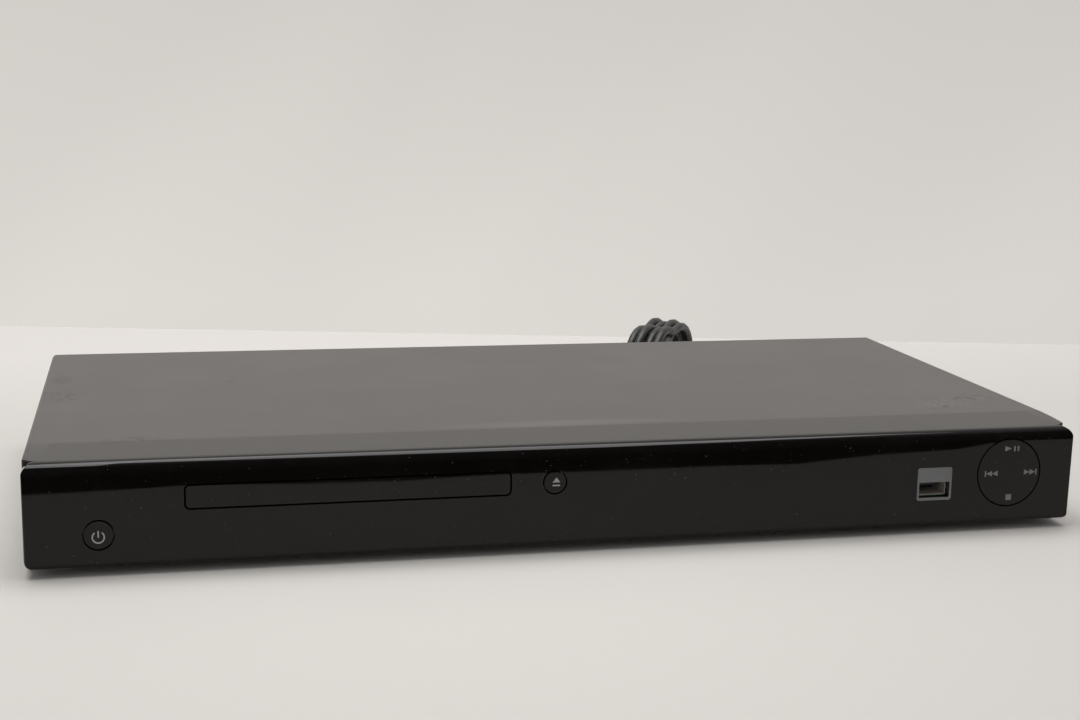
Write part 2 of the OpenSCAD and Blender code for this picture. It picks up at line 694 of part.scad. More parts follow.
// The outline of an involute gear, with a tooth on the +X side
module gear_outline(m, n) {
    rp = m * n / 2;
    rt = rp + tooth_top * m;
    rr = rp - tooth_bottom * m;
    rb = max(rp * cos(20), rr + 0.05);
    rs = [rr, rb, rb + (rt - rb) * 0.33, rb + (rt - rb) * 0.67, rt];
    polygon([for (i = [0:n - 1], k = [0:9])
        let(r = k < 5 ? rs[k] : rs[9 - k], h = half_tooth(m, n, tooth_play * m, r), a = i * 360 / n)
        [r * cos(a + (k < 5 ? -h : h)), r * sin(a + (k < 5 ? -h : h))]]);
}

// The outline of a straight rack along +Y, its pitch line on x = 0 and its teeth towards -X
module rack_outline(m, from, to, at, back) {
    pitch = PI * m;
    first = ceil((from - at) / pitch);
    last = floor((to - at) / pitch) - 1;
    half_tip = pitch / 4 - tooth_play * m / 2 - tooth_top * m * tan(20);
    half_root = pitch / 4 - tooth_play * m / 2 + tooth_bottom * m * tan(20);
    polygon(concat(
        [[back, from], [tooth_bottom * m, from]],
        [for (i = [first:last], k = [0:3])
            let(c = at + (i + 0.5) * pitch)
            [[tooth_bottom * m, c - half_root], [-tooth_top * m, c - half_tip],
             [-tooth_top * m, c + half_tip], [tooth_bottom * m, c + half_root]][k]],
        [[tooth_bottom * m, to], [back, to]]));
}

// ---------------------------------------------------------------- loader

// The tray, as seen from above, with its slot open towards the back
module slot_plan(extra) {
    translate([0, disc_d]) circle(slot_w / 2 + extra);
    translate([-slot_w / 2 - extra, disc_d]) square([slot_w + 2 * extra, tray_d1]);
}

module tray_plan() {
    w = tray_w / 2;
    translate([-w, tray_d0]) square([2 * w, tray_d1 - tray_d0]);
    for (s = [-1, 1]) translate([s * (w + 0.8) - 1, tray_d1 - 8]) square([2, 8]);
}

module tray() color("#1d1d1e") at_loader() difference() {
    union() {
        difference() {
            translate([0, 0, tray_z0]) linear_extrude(tray_z1 - tray_z0) tray_plan();
            translate([0, disc_d, recess_z]) cylinder(r = disc_recess_dia / 2, h = 9, $fn = 96);
            translate([0, disc_d, small_recess_z]) cylinder(r = small_recess_dia / 2, h = 9, $fn = 96);
            // The pinion runs out under the rear edge
            span([slot_w / 2 + 1.5, tray_d1 - 3, tray_z0 - 1], [rack_x + 1.05, tray_d1 + 1, deck_z0]);
            // The hollow underside
            difference() {
                translate([0, 0, tray_z0 - 1]) linear_extrude(deck_z0 - tray_z0 + 1)
                    difference() {
                        translate([-tray_w / 2 + 1.5, tray_d0 + 3.2])
                            square([tray_w - 3, tray_d1 - tray_d0 - 4.8]);
                        slot_plan(1.5);
                    }
                for (x = [-50, -34, 20]) span([x, tray_d0, tray_z0 + 0.5], [x + 1.2, tray_d1, tray_z1 - 4]);
            }
        }
        translate([rack_x, 0, tray_z0]) linear_extrude(deck_z0 - tray_z0 + tiny)
            rack_outline(rack_module, 20, rack_d1, gear_d, 3.4);
    }
    translate([0, 0, tray_z0 - 1]) linear_extrude(20) slot_plan(0);
    for (x = [-40, 40]) translate([x, 0, door_z]) y_bar(1.5 + fit, 0, tray_d0 + 3);
    // Finger notches in the rim beside the disc
    for (s = [-1, 1]) translate([s * (tray_w / 2 - 8), tray_d0 + 7, recess_z]) cylinder(r = 5, h = 9);
}

motor_can_r = 12.2;

module frame_hook(s, d0, d1) {
    x0 = tray_w / 2 - 1;
    span([s > 0 ? x0 : -frame_out, d0, tray_z1 + clear], [s > 0 ? frame_out : -x0, d1, frame_z1]);
}

bridge_ds = [58, 94];
bridge_x = frame_out + 2.7;

module frame_walls() for (s = [-1, 1]) {
    x0 = s > 0 ? frame_in : -frame_out;
    x1 = s > 0 ? frame_out : -frame_in;
    span([x0, frame_d0, frame_z0], [x1, frame_d1, frame_z1]);
    lx0 = s > 0 ? tray_w / 2 - 4 : -frame_in - tiny;
    lx1 = s > 0 ? frame_in + tiny : -tray_w / 2 + 4;
    span([lx0, frame_d0, ledge_z1 - 1.4], [lx1, frame_d1, ledge_z1]);
    gx0 = s > 0 ? tray_w / 2 + clear : -frame_in - tiny;
    gx1 = s > 0 ? frame_in + tiny : -tray_w / 2 - clear;
    span([gx0, frame_d0, ledge_z1 - tiny], [gx1, frame_d0 + 10, frame_z1]);
    for (d = [16, 104, frame_d1 - 46]) frame_hook(s, d, d + 9);
    for (d = bridge_ds) translate([s * bridge_x, d, frame_z0]) cylinder(r = 3, h = frame_z1 - frame_z0);
    for (d = [40, 76, 120, frame_d1 - 36])
        span([s > 0 ? frame_out - tiny : -frame_out - 2, d, frame_z0],
             [s > 0 ? frame_out + 2 : -frame_out + tiny, d + 1.6, frame_z1 - 6]);
    // Brackets for the hinge pins of the sub-chassis
    hx = s * hinge_x;
    span([hx - 1.5, hinge_d - 4, frame_z0], [hx + 1.5, hinge_d + 4, hinge_z + 4]);
}

module loader_frame() color("#2b2c2e") at_loader() difference() {
    union() {
        difference() {
            span([-frame_out, frame_d0, frame_z0], [frame_out, frame_d1, frame_floor_z]);
            translate([0, (well_d0 + well_d1) / 2, 0]) linear_extrude(30)
                round_rect(well_w, well_d1 - well_d0, 4);
        }
        frame_walls();
        span([-frame_out, frame_d1 - frame_t, frame_z0], [frame_out, frame_d1, frame_z1]);
        span([-frame_out, frame_d0, frame_z0], [frame_out, frame_d0 + 1.5, ledge_z1]);
        for (e = loader_ears) translate([e[0], e[1], frame_z0]) {
            cylinder(r = 6, h = 2);
            translate([e[0] > 0 ? -8 : 0, -6, 0]) cube([8, 12, 2]);
        }
        // Pins of the gears, the motor's shelf and the cam slider's guides
        translate([gear_x, gear_d, 0]) {
            ring(3.2, 1, frame_floor_z - 1, wheel_z0 - clear);
            translate([0, 0, frame_floor_z - 1]) cylinder(r = gear_pin_r, h = deck_z0 - frame_floor_z + 0.6);
        }
        translate([pulley_x, gear_d, 0]) {
            ring(2.6, 1, frame_floor_z - 1, wheel_z0 - clear - 0.3);
            translate([0, 0, frame_floor_z - 1]) cylinder(r = gear_pin_r, h = belt_z1 - frame_floor_z + 1.6);
        }
        translate([motor_x, motor_d, 0]) {
            translate([-14, -13.5, 17.7]) cube([28, 27, 1.4]);
            for (x = [-14, 12.6]) translate([x, -13.5, frame_floor_z - 1]) cube([1.4, 27, 8]);
        }
        span([-62, cam_d0 - clear - 1.2, frame_floor_z - 1], [44, cam_d0 - clear, frame_floor_z + 2]);
        for (x = [-60, -8, 30])
            span([x, cam_d1 + clear, frame_floor_z - 1], [x + 8, well_d0 - 0.2, frame_floor_z + 0.6]);
    }
    for (e = loader_ears) translate([e[0], e[1], 0]) cylinder(r = 3.2, h = 20);
    for (s = [-1, 1]) {
        for (d = bridge_ds) translate([s * bridge_x, d, frame_z1 - 12]) cylinder(r = 1.25, h = 14);
        translate([s * hinge_x, hinge_d, hinge_z]) x_bar(2 + fit, -3, 3);
    }
    translate([motor_x, motor_d, 0]) {
        cylinder(r = motor_can_r + 0.3, h = 17.7);
        cylinder(r = 3.6, h = 25);
    }
}

module loader_dampers() color("#5a5348") at_loader() for (e = loader_ears) translate([e[0], e[1], 0])
    rotate_extrude() polygon([
        [1.6, ear_stud_z], [4.4, ear_stud_z], [4.8, 8.9], [3.1, 8.9], [3.1, 11.1], [4.8, 11.1],
        [4.4, 12.8], [1.6, 12.8]
    ]);

module loader_screws() color("#9a9da0") at_loader() {
    for (e = loader_ears) translate([e[0], e[1], 12.8 + tiny]) screw(3.6, 1.6, 1.5, 8);
    for (s = [-1, 1], d = bridge_ds) translate([s * bridge_x, d, frame_z1 + 1.2 + tiny])
        screw(2.6, 1.5, 1.2, 8);
}

module loading_motor() color("#c3c6c8") at_loader() translate([motor_x, motor_d, 0]) {
    translate([0, 0, 5.6]) cylinder(r = motor_can_r, h = 11.8);
    translate([0, 0, 17.4 - tiny]) cylinder(r = 3, h = 1.2);
    translate([0, 0, 4.9]) cylinder(r = 3, h = 0.8);
}

module pulley_profile(groove, flange, z0, z1, bore) translate([0, 0, z0]) rotate_extrude() polygon([
    [bore, 0], [flange, 0], [flange, 0.4], [groove, 0.8], [groove, z1 - z0 - 0.8],
    [flange, z1 - z0 - 0.4], [flange, z1 - z0], [bore, z1 - z0]
]);

module motor_pulley() color("#d9d2b8") at_loader() translate([motor_x, motor_d, 0]) {
    pulley_profile(motor_groove_r, 3.5, belt_z0, belt_z1, 0);
    translate([0, 0, 18.9]) cylinder(r = 1, h = belt_z0 - 18.9 + tiny);
    translate([0, 0, belt_z1 - tiny]) cylinder(r = 1.6, h = 0.6);
}

// The loop round both pulleys, grown by a distance
module belt_loop(grow) {
    r1 = motor_groove_r + fit + grow;
    r2 = pulley_groove_r + fit + grow;
    dx = pulley_x - motor_x;
    dy = gear_d - motor_d;
    far = norm([dx, dy]);
    a = acos((r1 - r2) / far);
    n = 24;
    translate([motor_x, motor_d]) rotate(atan2(dy, dx)) polygon(concat(
        [for (i = [0:n]) let(t = -a + i * 2 * a / n) [far + r2 * cos(t), r2 * sin(t)]],
        [for (i = [0:n]) let(t = a + i * (360 - 2 * a) / n) [r1 * cos(t), r1 * sin(t)]]
    ));
}

module drive_belt() color("#141414") at_loader()
    translate([0, 0, (belt_z0 + belt_z1) / 2 - 0.45]) linear_extrude(0.9) difference() {
        belt_loop(belt_t);
        belt_loop(0);
    }

module pulley_gear() color("#ece7da") at_loader() translate([pulley_x, gear_d, 0]) difference() {
    union() {
        translate([0, 0, wheel_z0 - 0.3]) linear_extrude(wheel_z1 - wheel_z0 + 0.6)
            rotate(180 / small_teeth) gear_outline(wheel_module, small_teeth);
        translate([0, 0, wheel_z1]) cylinder(r = 3.4, h = belt_z0 - wheel_z1 + tiny);
        pulley_profile(pulley_groove_r, 9.2, belt_z0, belt_z1, 0);
    }
    cylinder(r = gear_pin_r + fit, h = 40);
}

module drive_gear() color("#f1ede2") at_loader() translate([gear_x, gear_d, 0]) difference() {
    union() {
        translate([0, 0, wheel_z0]) linear_extrude(wheel_z1 - wheel_z0)
            gear_outline(wheel_module, wheel_teeth);
        translate([0, 0, wheel_z1 - tiny]) linear_extrude(deck_z0 - 0.5 - wheel_z1)
            gear_outline(rack_module, pinion_teeth);
    }
    cylinder(r = gear_pin_r + fit, h = 40);
    for (a = [30:60:359]) rotate(a) translate([wheel_r * 0.74, 0, wheel_z0 - 1]) cylinder(r = 1.6, h = 9);
}

// The cam slider: a wall with two slanting slots that lift the sub-chassis by its pins
cam_x0 = -47;
cam_x1 = 22;
cam_slot_r = cam_pin_r + 0.3;

module cam_slot(x) {
    a = atan2(lift_drop, cam_travel);
    long = sqrt(lift_drop * lift_drop + cam_travel * cam_travel);
    translate([x, cam_pin_z]) rotate(180 + a) {
        circle(cam_slot_r);
        translate([0, -cam_slot_r]) square([long, 2 * cam_slot_r]);
        translate([long, 0]) circle(cam_slot_r);
    }
}

module cam_slider() color("#e9e4d6") at_loader() {
    difference() {
        span([cam_x0, cam_d0, frame_floor_z + clear], [cam_x1, cam_d1, 23]);
        for (x = cam_pins_x) front_solid(cam_d0 - 1, cam_d1 + 1) cam_slot(x);
    }
    // The peg that the tray's groove draws sideways
    translate([-44, (cam_d0 + cam_d1) / 2, 22.9]) cylinder(r = 1.4, h = ledge_z1 - 22.9);
}

traverse_d0 = 62;
traverse_d1 = hinge_d + 4;

module traverse_edge(inset, r) translate([0, (traverse_d0 + traverse_d1) / 2])
    round_rect(82 - 2 * inset, traverse_d1 - traverse_d0 - 2 * inset, r);

// The sub-chassis that carries the turntable and the pickup
module traverse_plan() difference() {
    traverse_edge(0, 3);
    translate([0, disc_d]) circle(14.6);
    translate([-30, 86]) square([58.5, hinge_d - 90]);
    translate([28, 95]) square([11, hinge_d - 101]);
    translate([screw_x - 5.6, 70]) square([11.2, 26]);
}

module traverse() color("#2f3033") at_loader() difference() {
    union() {
        translate([0, 0, plate_z0]) linear_extrude(plate_z1 - plate_z0) traverse_plan();
        // A skirt under the edge stiffens the plate
        translate([0, 0, 12.5]) linear_extrude(plate_z0 - 12.5 + tiny) difference() {
            traverse_edge(0, 3);
            traverse_edge(1.5, 2);
        }
        span([-30, 60.4, 12.5], [26, 62.2, cam_pin_z + 2.3]);
        for (x = cam_pins_x) translate([x, 0, cam_pin_z]) y_bar(cam_pin_r, cam_d0 - 0.2, 61);
        for (s = [-1, 1]) {
            translate([0, hinge_d, hinge_z]) x_bar(2, s > 0 ? 40 : -47, s > 0 ? 47 : -40);
            for (d = [rod_d0 - 2, rod_d1 - 4])
                span([s * rod_x - 3.2, d, rod_z - 3], [s * rod_x + 3.2, d + 6, rod_z + 3]);
        }
        // The bearing at the far end of the screw
        span([screw_x - 3, screw_d1 - 1.6, screw_z - 3], [screw_x + 3, screw_d1 + 0.8, screw_z + 3]);
    }
    for (s = [-1, 1]) translate([s * rod_x, 0, rod_z]) y_bar(rod_dia / 2 + fit / 2, rod_d0, rod_d1);
    translate([screw_x, 0, screw_z]) y_bar(1 + fit, screw_d1 - 2.2, screw_d1 + 0.2);
    translate([screw_x, 0, screw_z]) y_bar(5.4, 70, 92.4);
}

module guide_rods() color("#d5d8da") at_loader() for (s = [-1, 1])
    translate([s * rod_x, 0, rod_z]) y_bar(rod_dia / 2, rod_d0 + 0.1, rod_d1 - 0.1);

stator_teeth = 9;

module spindle_motor() color("#a8a29a") at_loader() translate([0, disc_d, 0]) {
    translate([0, 0, plate_z0 - 1.2]) linear_extrude(1.2 - tiny) difference() {
        round_rect(44, 23.2, 3);
        circle(1.2);
    }
    // The bearing tube, the stator's teeth and the coils wound on them
    difference() {
        union() {
            translate([0, 0, plate_z0 - 0.1]) cylinder(r = 3.4, h = 10.4);
            translate([0, 0, plate_z1 + 1.2]) linear_extrude(3) {
                circle(4.6);
                for (i = [1:stator_teeth]) rotate(i * 360 / stator_teeth) {
                    translate([4, -1]) square([6, 2]);
                    translate([9.2, -2.4]) square([1.2, 4.8]);
                }
            }
            for (i = [1:stator_teeth]) rotate(i * 360 / stator_teeth)
                translate([5.6, -1.6, plate_z1 + 0.7]) cube([3, 3.2, 4]);
        }
        translate([0, 0, plate_z0 - 2]) cylinder(r = 1 + fit, h = 20);
    }
}

module turntable() color("#34363a") at_loader() translate([0, disc_d, 0]) {
    cup_z0 = plate_z1 + 0.5;
    cup_z1 = disc_z - 2.6;
    rotate_extrude() polygon([
        [0, plate_z0 + 0.4], [1, plate_z0 + 0.4], [1, cup_z1 - 1], [11.6, cup_z1 - 1], [11.6, cup_z0],
        [13, cup_z0], [13, cup_z1 - 0.6], [12.4, cup_z1], [6, cup_z1], [6, disc_z - 2.2],
        [turntable_dia / 2 - 0.6, disc_z - 2.2], [turntable_dia / 2, disc_z - 1.6],
        [turntable_dia / 2, disc_z], [turntable_dia / 2 - 4, disc_z], [turntable_dia / 2 - 4, disc_z - 0.3],
        [7.4, disc_z - 0.3], [7.4, disc_z + 0.9], [6, hub_z], [0, hub_z]
    ]);
}

module pickup() color("#3d3f45") at_loader() difference() {
    union() {
        difference() {
            span([-22, pickup_d0, 12.6], [22, pickup_d1, 22.4]);
            translate([0, disc_d, 0]) cylinder(r = 15.4, h = 40);
        }
        // Two bushes on the main rod, one on the other
        for (d = [pickup_d0 + 1, pickup_d1 - 9]) translate([-rod_x, 0, rod_z]) y_bar(3.4, d, d + 8);
        for (d = [pickup_d0 + 1, pickup_d1 - 9]) span([-rod_x, d, rod_z - 2.4], [-21, d + 8, rod_z + 2.4]);
        span([21, 104, rod_z - 3.2], [rod_x + 2, 112, rod_z + 3.2]);
        // The arm over the screw
        span([21, 105, screw_z + 2], [screw_x + 2.4, 111, screw_z + 4.6]);
        // The cover round the lens
        difference() {
            span([-9.5, lens_d - 7.5, 22.3], [9.5, lens_d + 9, disc_z - 3.6]);
            translate([0, lens_d, 20]) cylinder(r = 5.4, h = 20);
        }
    }
    for (s = [-1, 1]) translate([s * rod_x, 0, rod_z]) y_bar(rod_dia / 2 + fit, pickup_d0 - 1, pickup_d1 + 1);
    span([rod_x, 100, rod_z - rod_dia / 2 - fit], [rod_x + 6, 116, rod_z + rod_dia / 2 + fit]);
}

module pickup_lens() color("#9fb6c6") at_loader() translate([0, lens_d, 23]) rotate_extrude() polygon([
    [0, 0], [4.6, 0], [4.6, disc_z - 26.2], [2.6, disc_z - 25.8],
    for (a = [0:15:90]) [2.5 * cos(a), disc_z - 25.8 + 1.1 * sin(a)]
]);

module sled_motor() color("#c0c3c5") at_loader() translate([screw_x, 0, screw_z]) {
    y_bar(5, 72, 90);
    difference() {
        union() {
            y_bar(2.4, 89.9, 91.6);
            span([-5.2, 90, 1.4], [5.2, 91.2, 3.4]);
        }
        y_bar(1 + fit, 90.2, 93);
    }
    for (x = [-6.4, 4]) span([x, 85, 1.05], [x + 2.4, 90.1, 2.3]);
}

module lead_screw() color("#d0d3d5") at_loader() translate([screw_x, 0, screw_z]) {
    y_bar(1, 90.4, screw_d1);
    y_bar(1.5, 92.6, screw_d1 - 2);
}

module clamp_bridge() color("#b4b7b9") at_loader() difference() {
    union() {
        translate([0, disc_d, frame_z1]) linear_extrude(1.2) round_rect(2 * bridge_x + 6.4, 44, 4);
        for (s = [-1, 1]) translate([0, disc_d + s * 18.6, frame_z1 + 1.1]) linear_extrude(0.9)
            round_rect(112, 4, 1.9);
    }
    translate([0, disc_d, 30]) cylinder(r = clamp_hole_r, h = 12);
    for (s = [-1, 1], d = bridge_ds) translate([s * bridge_x, d, 30]) cylinder(r = 1.6, h = 12);
    for (s = [-1, 1]) translate([s * 38, disc_d, 30]) linear_extrude(12) round_rect(26, 14, 4);
}

clamp_hole_r = 13.2;

module clamper() color("#e4e2da") at_loader() translate([0, disc_d, 0]) {
    z0 = disc_z + clear;
    z1 = frame_z1 + 1.2 + clear;
    rotate_extrude() polygon([
        [0, hub_z + 0.4], [8.4, hub_z + 0.4], [8.4, z0], [turntable_dia / 2 - 0.5, z0],
        [turntable_dia / 2 - 0.5, z0 + 1.6], [12.4, z0 + 2.2], [12.4, z1], [15.4, z1], [15.4, z1 + 0.9],
        [10, z1 + 1.5], [9, z1 + 1.5], [9, z1 + 0.6], [2, z1 + 0.6], [2, z1 + 1.4], [0, z1 + 1.6]
    ]);
}

// ---------------------------------------------------------------- electronics

module floor_board(e, studs) color("#2d6a3c") at_front() difference() {
    span([e[0], e[2], board_z], [e[1], e[3], board_top]);
    for (p = studs) translate([p[0], p[1], 0]) cylinder(r = 1.5, h = 30);
}

module main_board() floor_board(main_edges, main_studs);
module power_board() floor_board(power_edges, power_studs);

module board_screws() color("#9a9da0") at_front() {
    for (p = concat(main_studs, power_studs)) translate([p[0], p[1], board_top + tiny])
        screw(2.6, 1.5, 1.2, 5);
    translate([usb_stud[0], usb_stud[1], usb_board_z1 + tiny]) screw(2.4, 1.4, 1.2, 5);
    for (b = key_bosses) translate([b[0], key_board_d + board_t + tiny, b[1]]) rotate([-90, 0, 0])
        screw(2, 1.1, 0.8, 5);
}

module transformer() color("#3a3b3d") at_front() translate([on_power(45), 150, board_top]) {
    linear_extrude(3) round_rect(28, 24, 1);
    translate([0, 0, 3 - tiny]) linear_extrude(13) round_rect(17, 20, 2);
    translate([0, 0, 16 - tiny]) linear_extrude(3) round_rect(28, 24, 1);
    difference() {
        span([-15, -6.5, 0.8], [15, 6.5, 20.6]);
        span([-11, -7, 4.2], [11, 7, 17.2]);
    }
}

// [distance from the board's right edge, depth, radius, height] of each can
caps = [
    [65, power_edges[3] - 18, 9, 26], [68, 130, 5, 16], [68, 116, 5, 16],
    [53, 118, 4, 14], [55, 100, 4, 12], [27, 92, 5, 18]
];

module capacitors() color("#20242c") at_front() for (c = caps) translate([on_power(c[0]), c[1], board_top])
    rotate_extrude() polygon([
        [0, 0], [c[2] - 0.5, 0], [c[2], 0.5], [c[2], 1.6], [c[2] - 0.4, 2.1], [c[2], 2.6],
        [c[2], c[3] - 0.5], [c[2] - 0.5, c[3]], [0, c[3]]
    ]);

module heat_sink() color("#a9adb0") at_front() translate([on_power(39), 122, board_top]) {
    span([0, 0, 0], [30, 2.4, 22]);
    for (i = [0:5]) span([i * 5.6, 2.3, 0], [i * 5.6 + 1.6, 9, 22]);
    span([9, -4.4, 4], [19, tiny, 19]);
    for (x = [11, 13.5, 16]) span([x, -2.6, 0], [x + 1, -1.8, 4 + tiny]);
}

// The inlet terminals, the fuse in its clips and the line filter
module mains_input() color("#8c8f86") at_front() {
    inlet_d = body_d - 21;
    translate([lead_x, inlet_d, board_top]) {
        span([-7, -4, 0], [7, 4, 9]);
        for (s = [-1, 1]) translate([s * 1.15, 0, lead_z - board_top])
            y_bar(0.9, 3.9, panel_d0 - 3 - inlet_d);
        for (s = [-1, 1]) span([s * 1.15 - 0.9, -3, 8.9], [s * 1.15 + 0.9, 4, lead_z - board_top + 0.5]);
    }
    translate([on_power(26), inlet_d - 10, board_top]) {
        for (d = [-9, 7]) span([-3, d, 0], [3, d + 2, 3.2]);
        translate([0, 0, 4.6]) y_bar(2.5, -10, 10);
    }
    translate([on_power(15), 107, board_top]) {
        difference() {
            span([-9, -7, 0], [9, 7, 15]);
            span([-5, -8, 4], [5, 8, 11]);
        }
    }
}

// The two plugs that the wires between the boards run to
plugs_d0 = body_d - 67;
// [share of the main board's width, depth, width, length, height] of each chip
chips = [
    [0.492, 147, 22, 22, 1.6], [0.734, 145, 18, 10, 1.2],
    [0.726, 159, 12, 6, 1.2], [0.25, 146, 14, 8, 1.4]
];
// The cable from the front reaches the main board here
front_cable_x = on_main(0.863);

module main_chips() color("#26282b") at_front() {
    for (c = chips) translate([on_main(c[0]), c[1], board_top])
        translate([-c[2] / 2, -c[3] / 2, 0]) cube([c[2], c[3], c[4]]);
    for (p = [[0.34, 120], [0.61, 122], [0.26, 164], [0.855, 176]])
        translate([on_main(p[0]), p[1], board_top]) cylinder(r = 2.6, h = 6);
    // Sockets for the cables
    span([main_edges[0] + 3, 120, board_top], [main_edges[0] + 8, 144, board_top + 5]);
    span([front_cable_x - 7, main_edges[2] + 0.5, board_top],
         [front_cable_x + 7, main_edges[2] + 5, board_top + 5]);
    for (x = [main_edges[1] - 6, power_edges[0] + 1])
        span([x, plugs_d0, board_top], [x + 5, plugs_d0 + 22, board_top + 6]);
    span([usb_x - 7, 31, usb_board_z1], [usb_x + 7, 35.5, cable_z + 1.2]);
}

// A phono socket: a metal sleeve round a plastic core with a hole for the pin
module phono(x, z) translate([x, 0, z]) difference() {
    union() {
        y_bar(jack_r, panel_d0 - 2, body_d + jack_out);
        y_bar(5.4, panel_d0 - 3, panel_d0 - 0.3);
    }
    difference() {
        y_bar(jack_r - 0.5, panel_d1 + 2, body_d + jack_out + 1);
        y_bar(jack_r - 1.2, panel_d1, body_d + jack_out - 0.5);
    }
    y_bar(1.6, panel_d1 + 1, body_d + jack_out + 1);
}

module av_jacks() color("#d8b23a") at_front() {
    for (x = jack_xs, z = jack_zs) phono(x, z);
    phono(coax_x, jack_zs[0]);
    span([jack_xs[0] - 7, panel_d0 - 13, board_top], [jack_xs[2] + 7, panel_d0 - 2.9, jack_zs[1] + 7]);
    span([coax_x - 6.5, panel_d0 - 13, board_top], [coax_x + 6.5, panel_d0 - 2.9, jack_zs[0] + 7]);
}

module hdmi_shape(g) polygon([
    [-7.2 + g, 2.4 - g], [7.2 - g, 2.4 - g], [7.2 - g, 0.2], [5.6 - g * 0.6, -2.4 + g],
    [-5.6 + g * 0.6, -2.4 + g], [-7.2 + g, 0.2]
]);

module hdmi_socket() color("#c4c7c9") at_front() translate([hdmi_x, 0, board_top + 2.9]) {
    difference() {
        front_solid(panel_d0 - 11, panel_d1 + 0.4) hdmi_shape(0);
        front_solid(panel_d0 - 10, panel_d1 + 1) hdmi_shape(0.4);
    }
    span([-5, panel_d0 - 10.1, -0.5], [5, panel_d1 - 1, 0.6]);
    span([-6.4, panel_d0 - 10, -2.9], [6.4, panel_d0 - 6, -2.3]);
}

// Flat cables: from the front board to the main board, and from the main board to the loader
module flat_cables() color("#e3e0d4") at_front() {
    translate([0, 0, cable_z]) linear_extrude(0.4) polygon([
        [usb_x - 6, 35.5], [usb_x + 6, 35.5], [usb_x + 6, 56], [front_cable_x + 6, 56],
        [front_cable_x + 6, main_edges[2] + 0.5], [front_cable_x - 6, main_edges[2] + 0.5],
        [front_cable_x - 6, 44], [usb_x - 6, 44]
    ]);
    span([tray_x + frame_out, 122, cable_z], [main_edges[0] + 3, 142, cable_z + 0.4]);
}

module power_wires() color("#c8b44c") at_front() for (i = [0:7])
    translate([0, plugs_d0 + 3 + i * 2.3, board_top + 3]) x_bar(0.7, main_edges[1] - 1, power_edges[0] + 1);

// ---------------------------------------------------------------- mains lead

relief_neck_r = 5.4;

module strain_relief() color("#1a1a1b") at_front() translate([lead_x, 0, lead_z]) difference() {
    union() {
        y_bar(7, panel_d0 - 3, panel_d0);
        y_bar(relief_neck_r, panel_d0 - 0.1, panel_d1 + 0.1);
        y_bar(7, panel_d1, panel_d1 + 2.4);
        translate([0, relief_d1 - 0.6, 0]) rotate([90, 0, 0])
            cylinder(r1 = lead_dia / 2 + 0.9, r2 = 5, h = relief_long - 3);
        for (i = [0:4]) y_bar(5 - i * 0.35, panel_d1 + 3 + i * 3.6, panel_d1 + 4.8 + i * 3.6);
    }
    y_bar(lead_dia / 2 + 0.15, panel_d1 + 6, relief_d1 + 1);
}

// Catmull-Rom points through a route, four to each leg
function curve_at(a, b, c, d, t) =
    0.5 * (2 * b + (c - a) * t + (2 * a - 5 * b + 4 * c - d) * t * t + (3 * b - a - 3 * c + d) * t * t * t);
function smooth(route, k) = [
    for (i = [0:len(route) - 2], j = [0:k - 1])
        curve_at(route[max(i - 1, 0)], route[i], route[i + 1], route[min(i + 2, len(route) - 1)], j / k),
    route[len(route) - 1]
];

function unit(v) = v / norm(v);
function line_dir(p, i) = unit(p[min(i + 1, len(p) - 1)] - p[max(i - 1, 0)]);

// The rings of a tube along a line, each turned as little as can be from the one before
function frames(p, i, side) = let(t = line_dir(p, i), s = unit(side - t * (side * t)))
    i == len(p) - 1 ? [s] : concat([s], frames(p, i + 1, s));

module tube(line, r, sides, first) {
    n = len(line);
    s = frames(line, 0, first);
    // The corners lie a little out, so that the flat sides are as far in as they are out
    c = r / sqrt(cos(180 / sides));
    points = [for (i = [0:n - 1], k = [0:sides - 1])
        let(t = line_dir(line, i), u = s[i], v = cross(t, u), a = (k + 0.5) * 360 / sides)
        line[i] + c * (u * cos(a) + v * sin(a))];
    faces = concat(
        [[for (k = [0:sides - 1]) k]],
        [for (i = [0:n - 2], k = [0:sides - 1], h = [0:1])
            let(a = i * sides + k, b = i * sides + (k + 1) % sides)
            h == 0 ? [a, a + sides, b] : [b, a + sides, b + sides]],
        [[for (k = [sides - 1:-1:0]) (n - 1) * sides + k]]);
    polyhedron(points, faces, convexity = 10);
}

// The hank's own frame: u runs along it, v stands up and w is its thickness
hank_u = [sin(hank_turn), cos(hank_turn), 0];
hank_w = [cos(hank_turn), -sin(hank_turn), 0];
hank_centre = [hank_x, hank_behind, hank_z];
hank_first = -0.125;

// Radius and layer at a number of turns; both change over where the spiral turns back
function saw(x) = let(m = x - 2 * floor(x / 2)) m < 1 ? m : 2 - m;
function hank_r(t) = t < 0 ? hank_out_r - t * hank_step
    : t > hank_turns ? hank_out_r + (t - hank_turns) * hank_step
    : hank_out_r - 1.5 * hank_step * saw(t / 1.5);
function ease(x) = x <= 0 ? 0 : x >= 1 ? 1 : x * x * (3 - 2 * x);
function hank_h(t) = ease((t - 1.25) / 0.5) + ease((t - 2.75) / 0.5) + ease((t - 4.25) / 0.5) - 1.5;

// One loop is a run, an end, a run and an end, a quarter of the turn each
function loop_at(f, r) = let(q = floor(f * 4), g = f * 4 - q, a = 180 * g, x = hank_run * (g - 0.5),
    in = hank_draw * pow(cos(180 * (g - 0.5)), 2))
    q == 0 ? [x, -(r - in)]
    : q == 1 ? [hank_run / 2 + r * sin(a), -r * cos(a)]
    : q == 2 ? [-x, r - in]
    : [-hank_run / 2 - r * sin(a), r * cos(a)];
function hank_point(t) = let(s = t + 0.125, p = loop_at(s - floor(s), hank_r(t)))
    hank_centre + hank_u * p[0] + [0, 0, p[1]] + hank_w * hank_layer * hank_h(t);

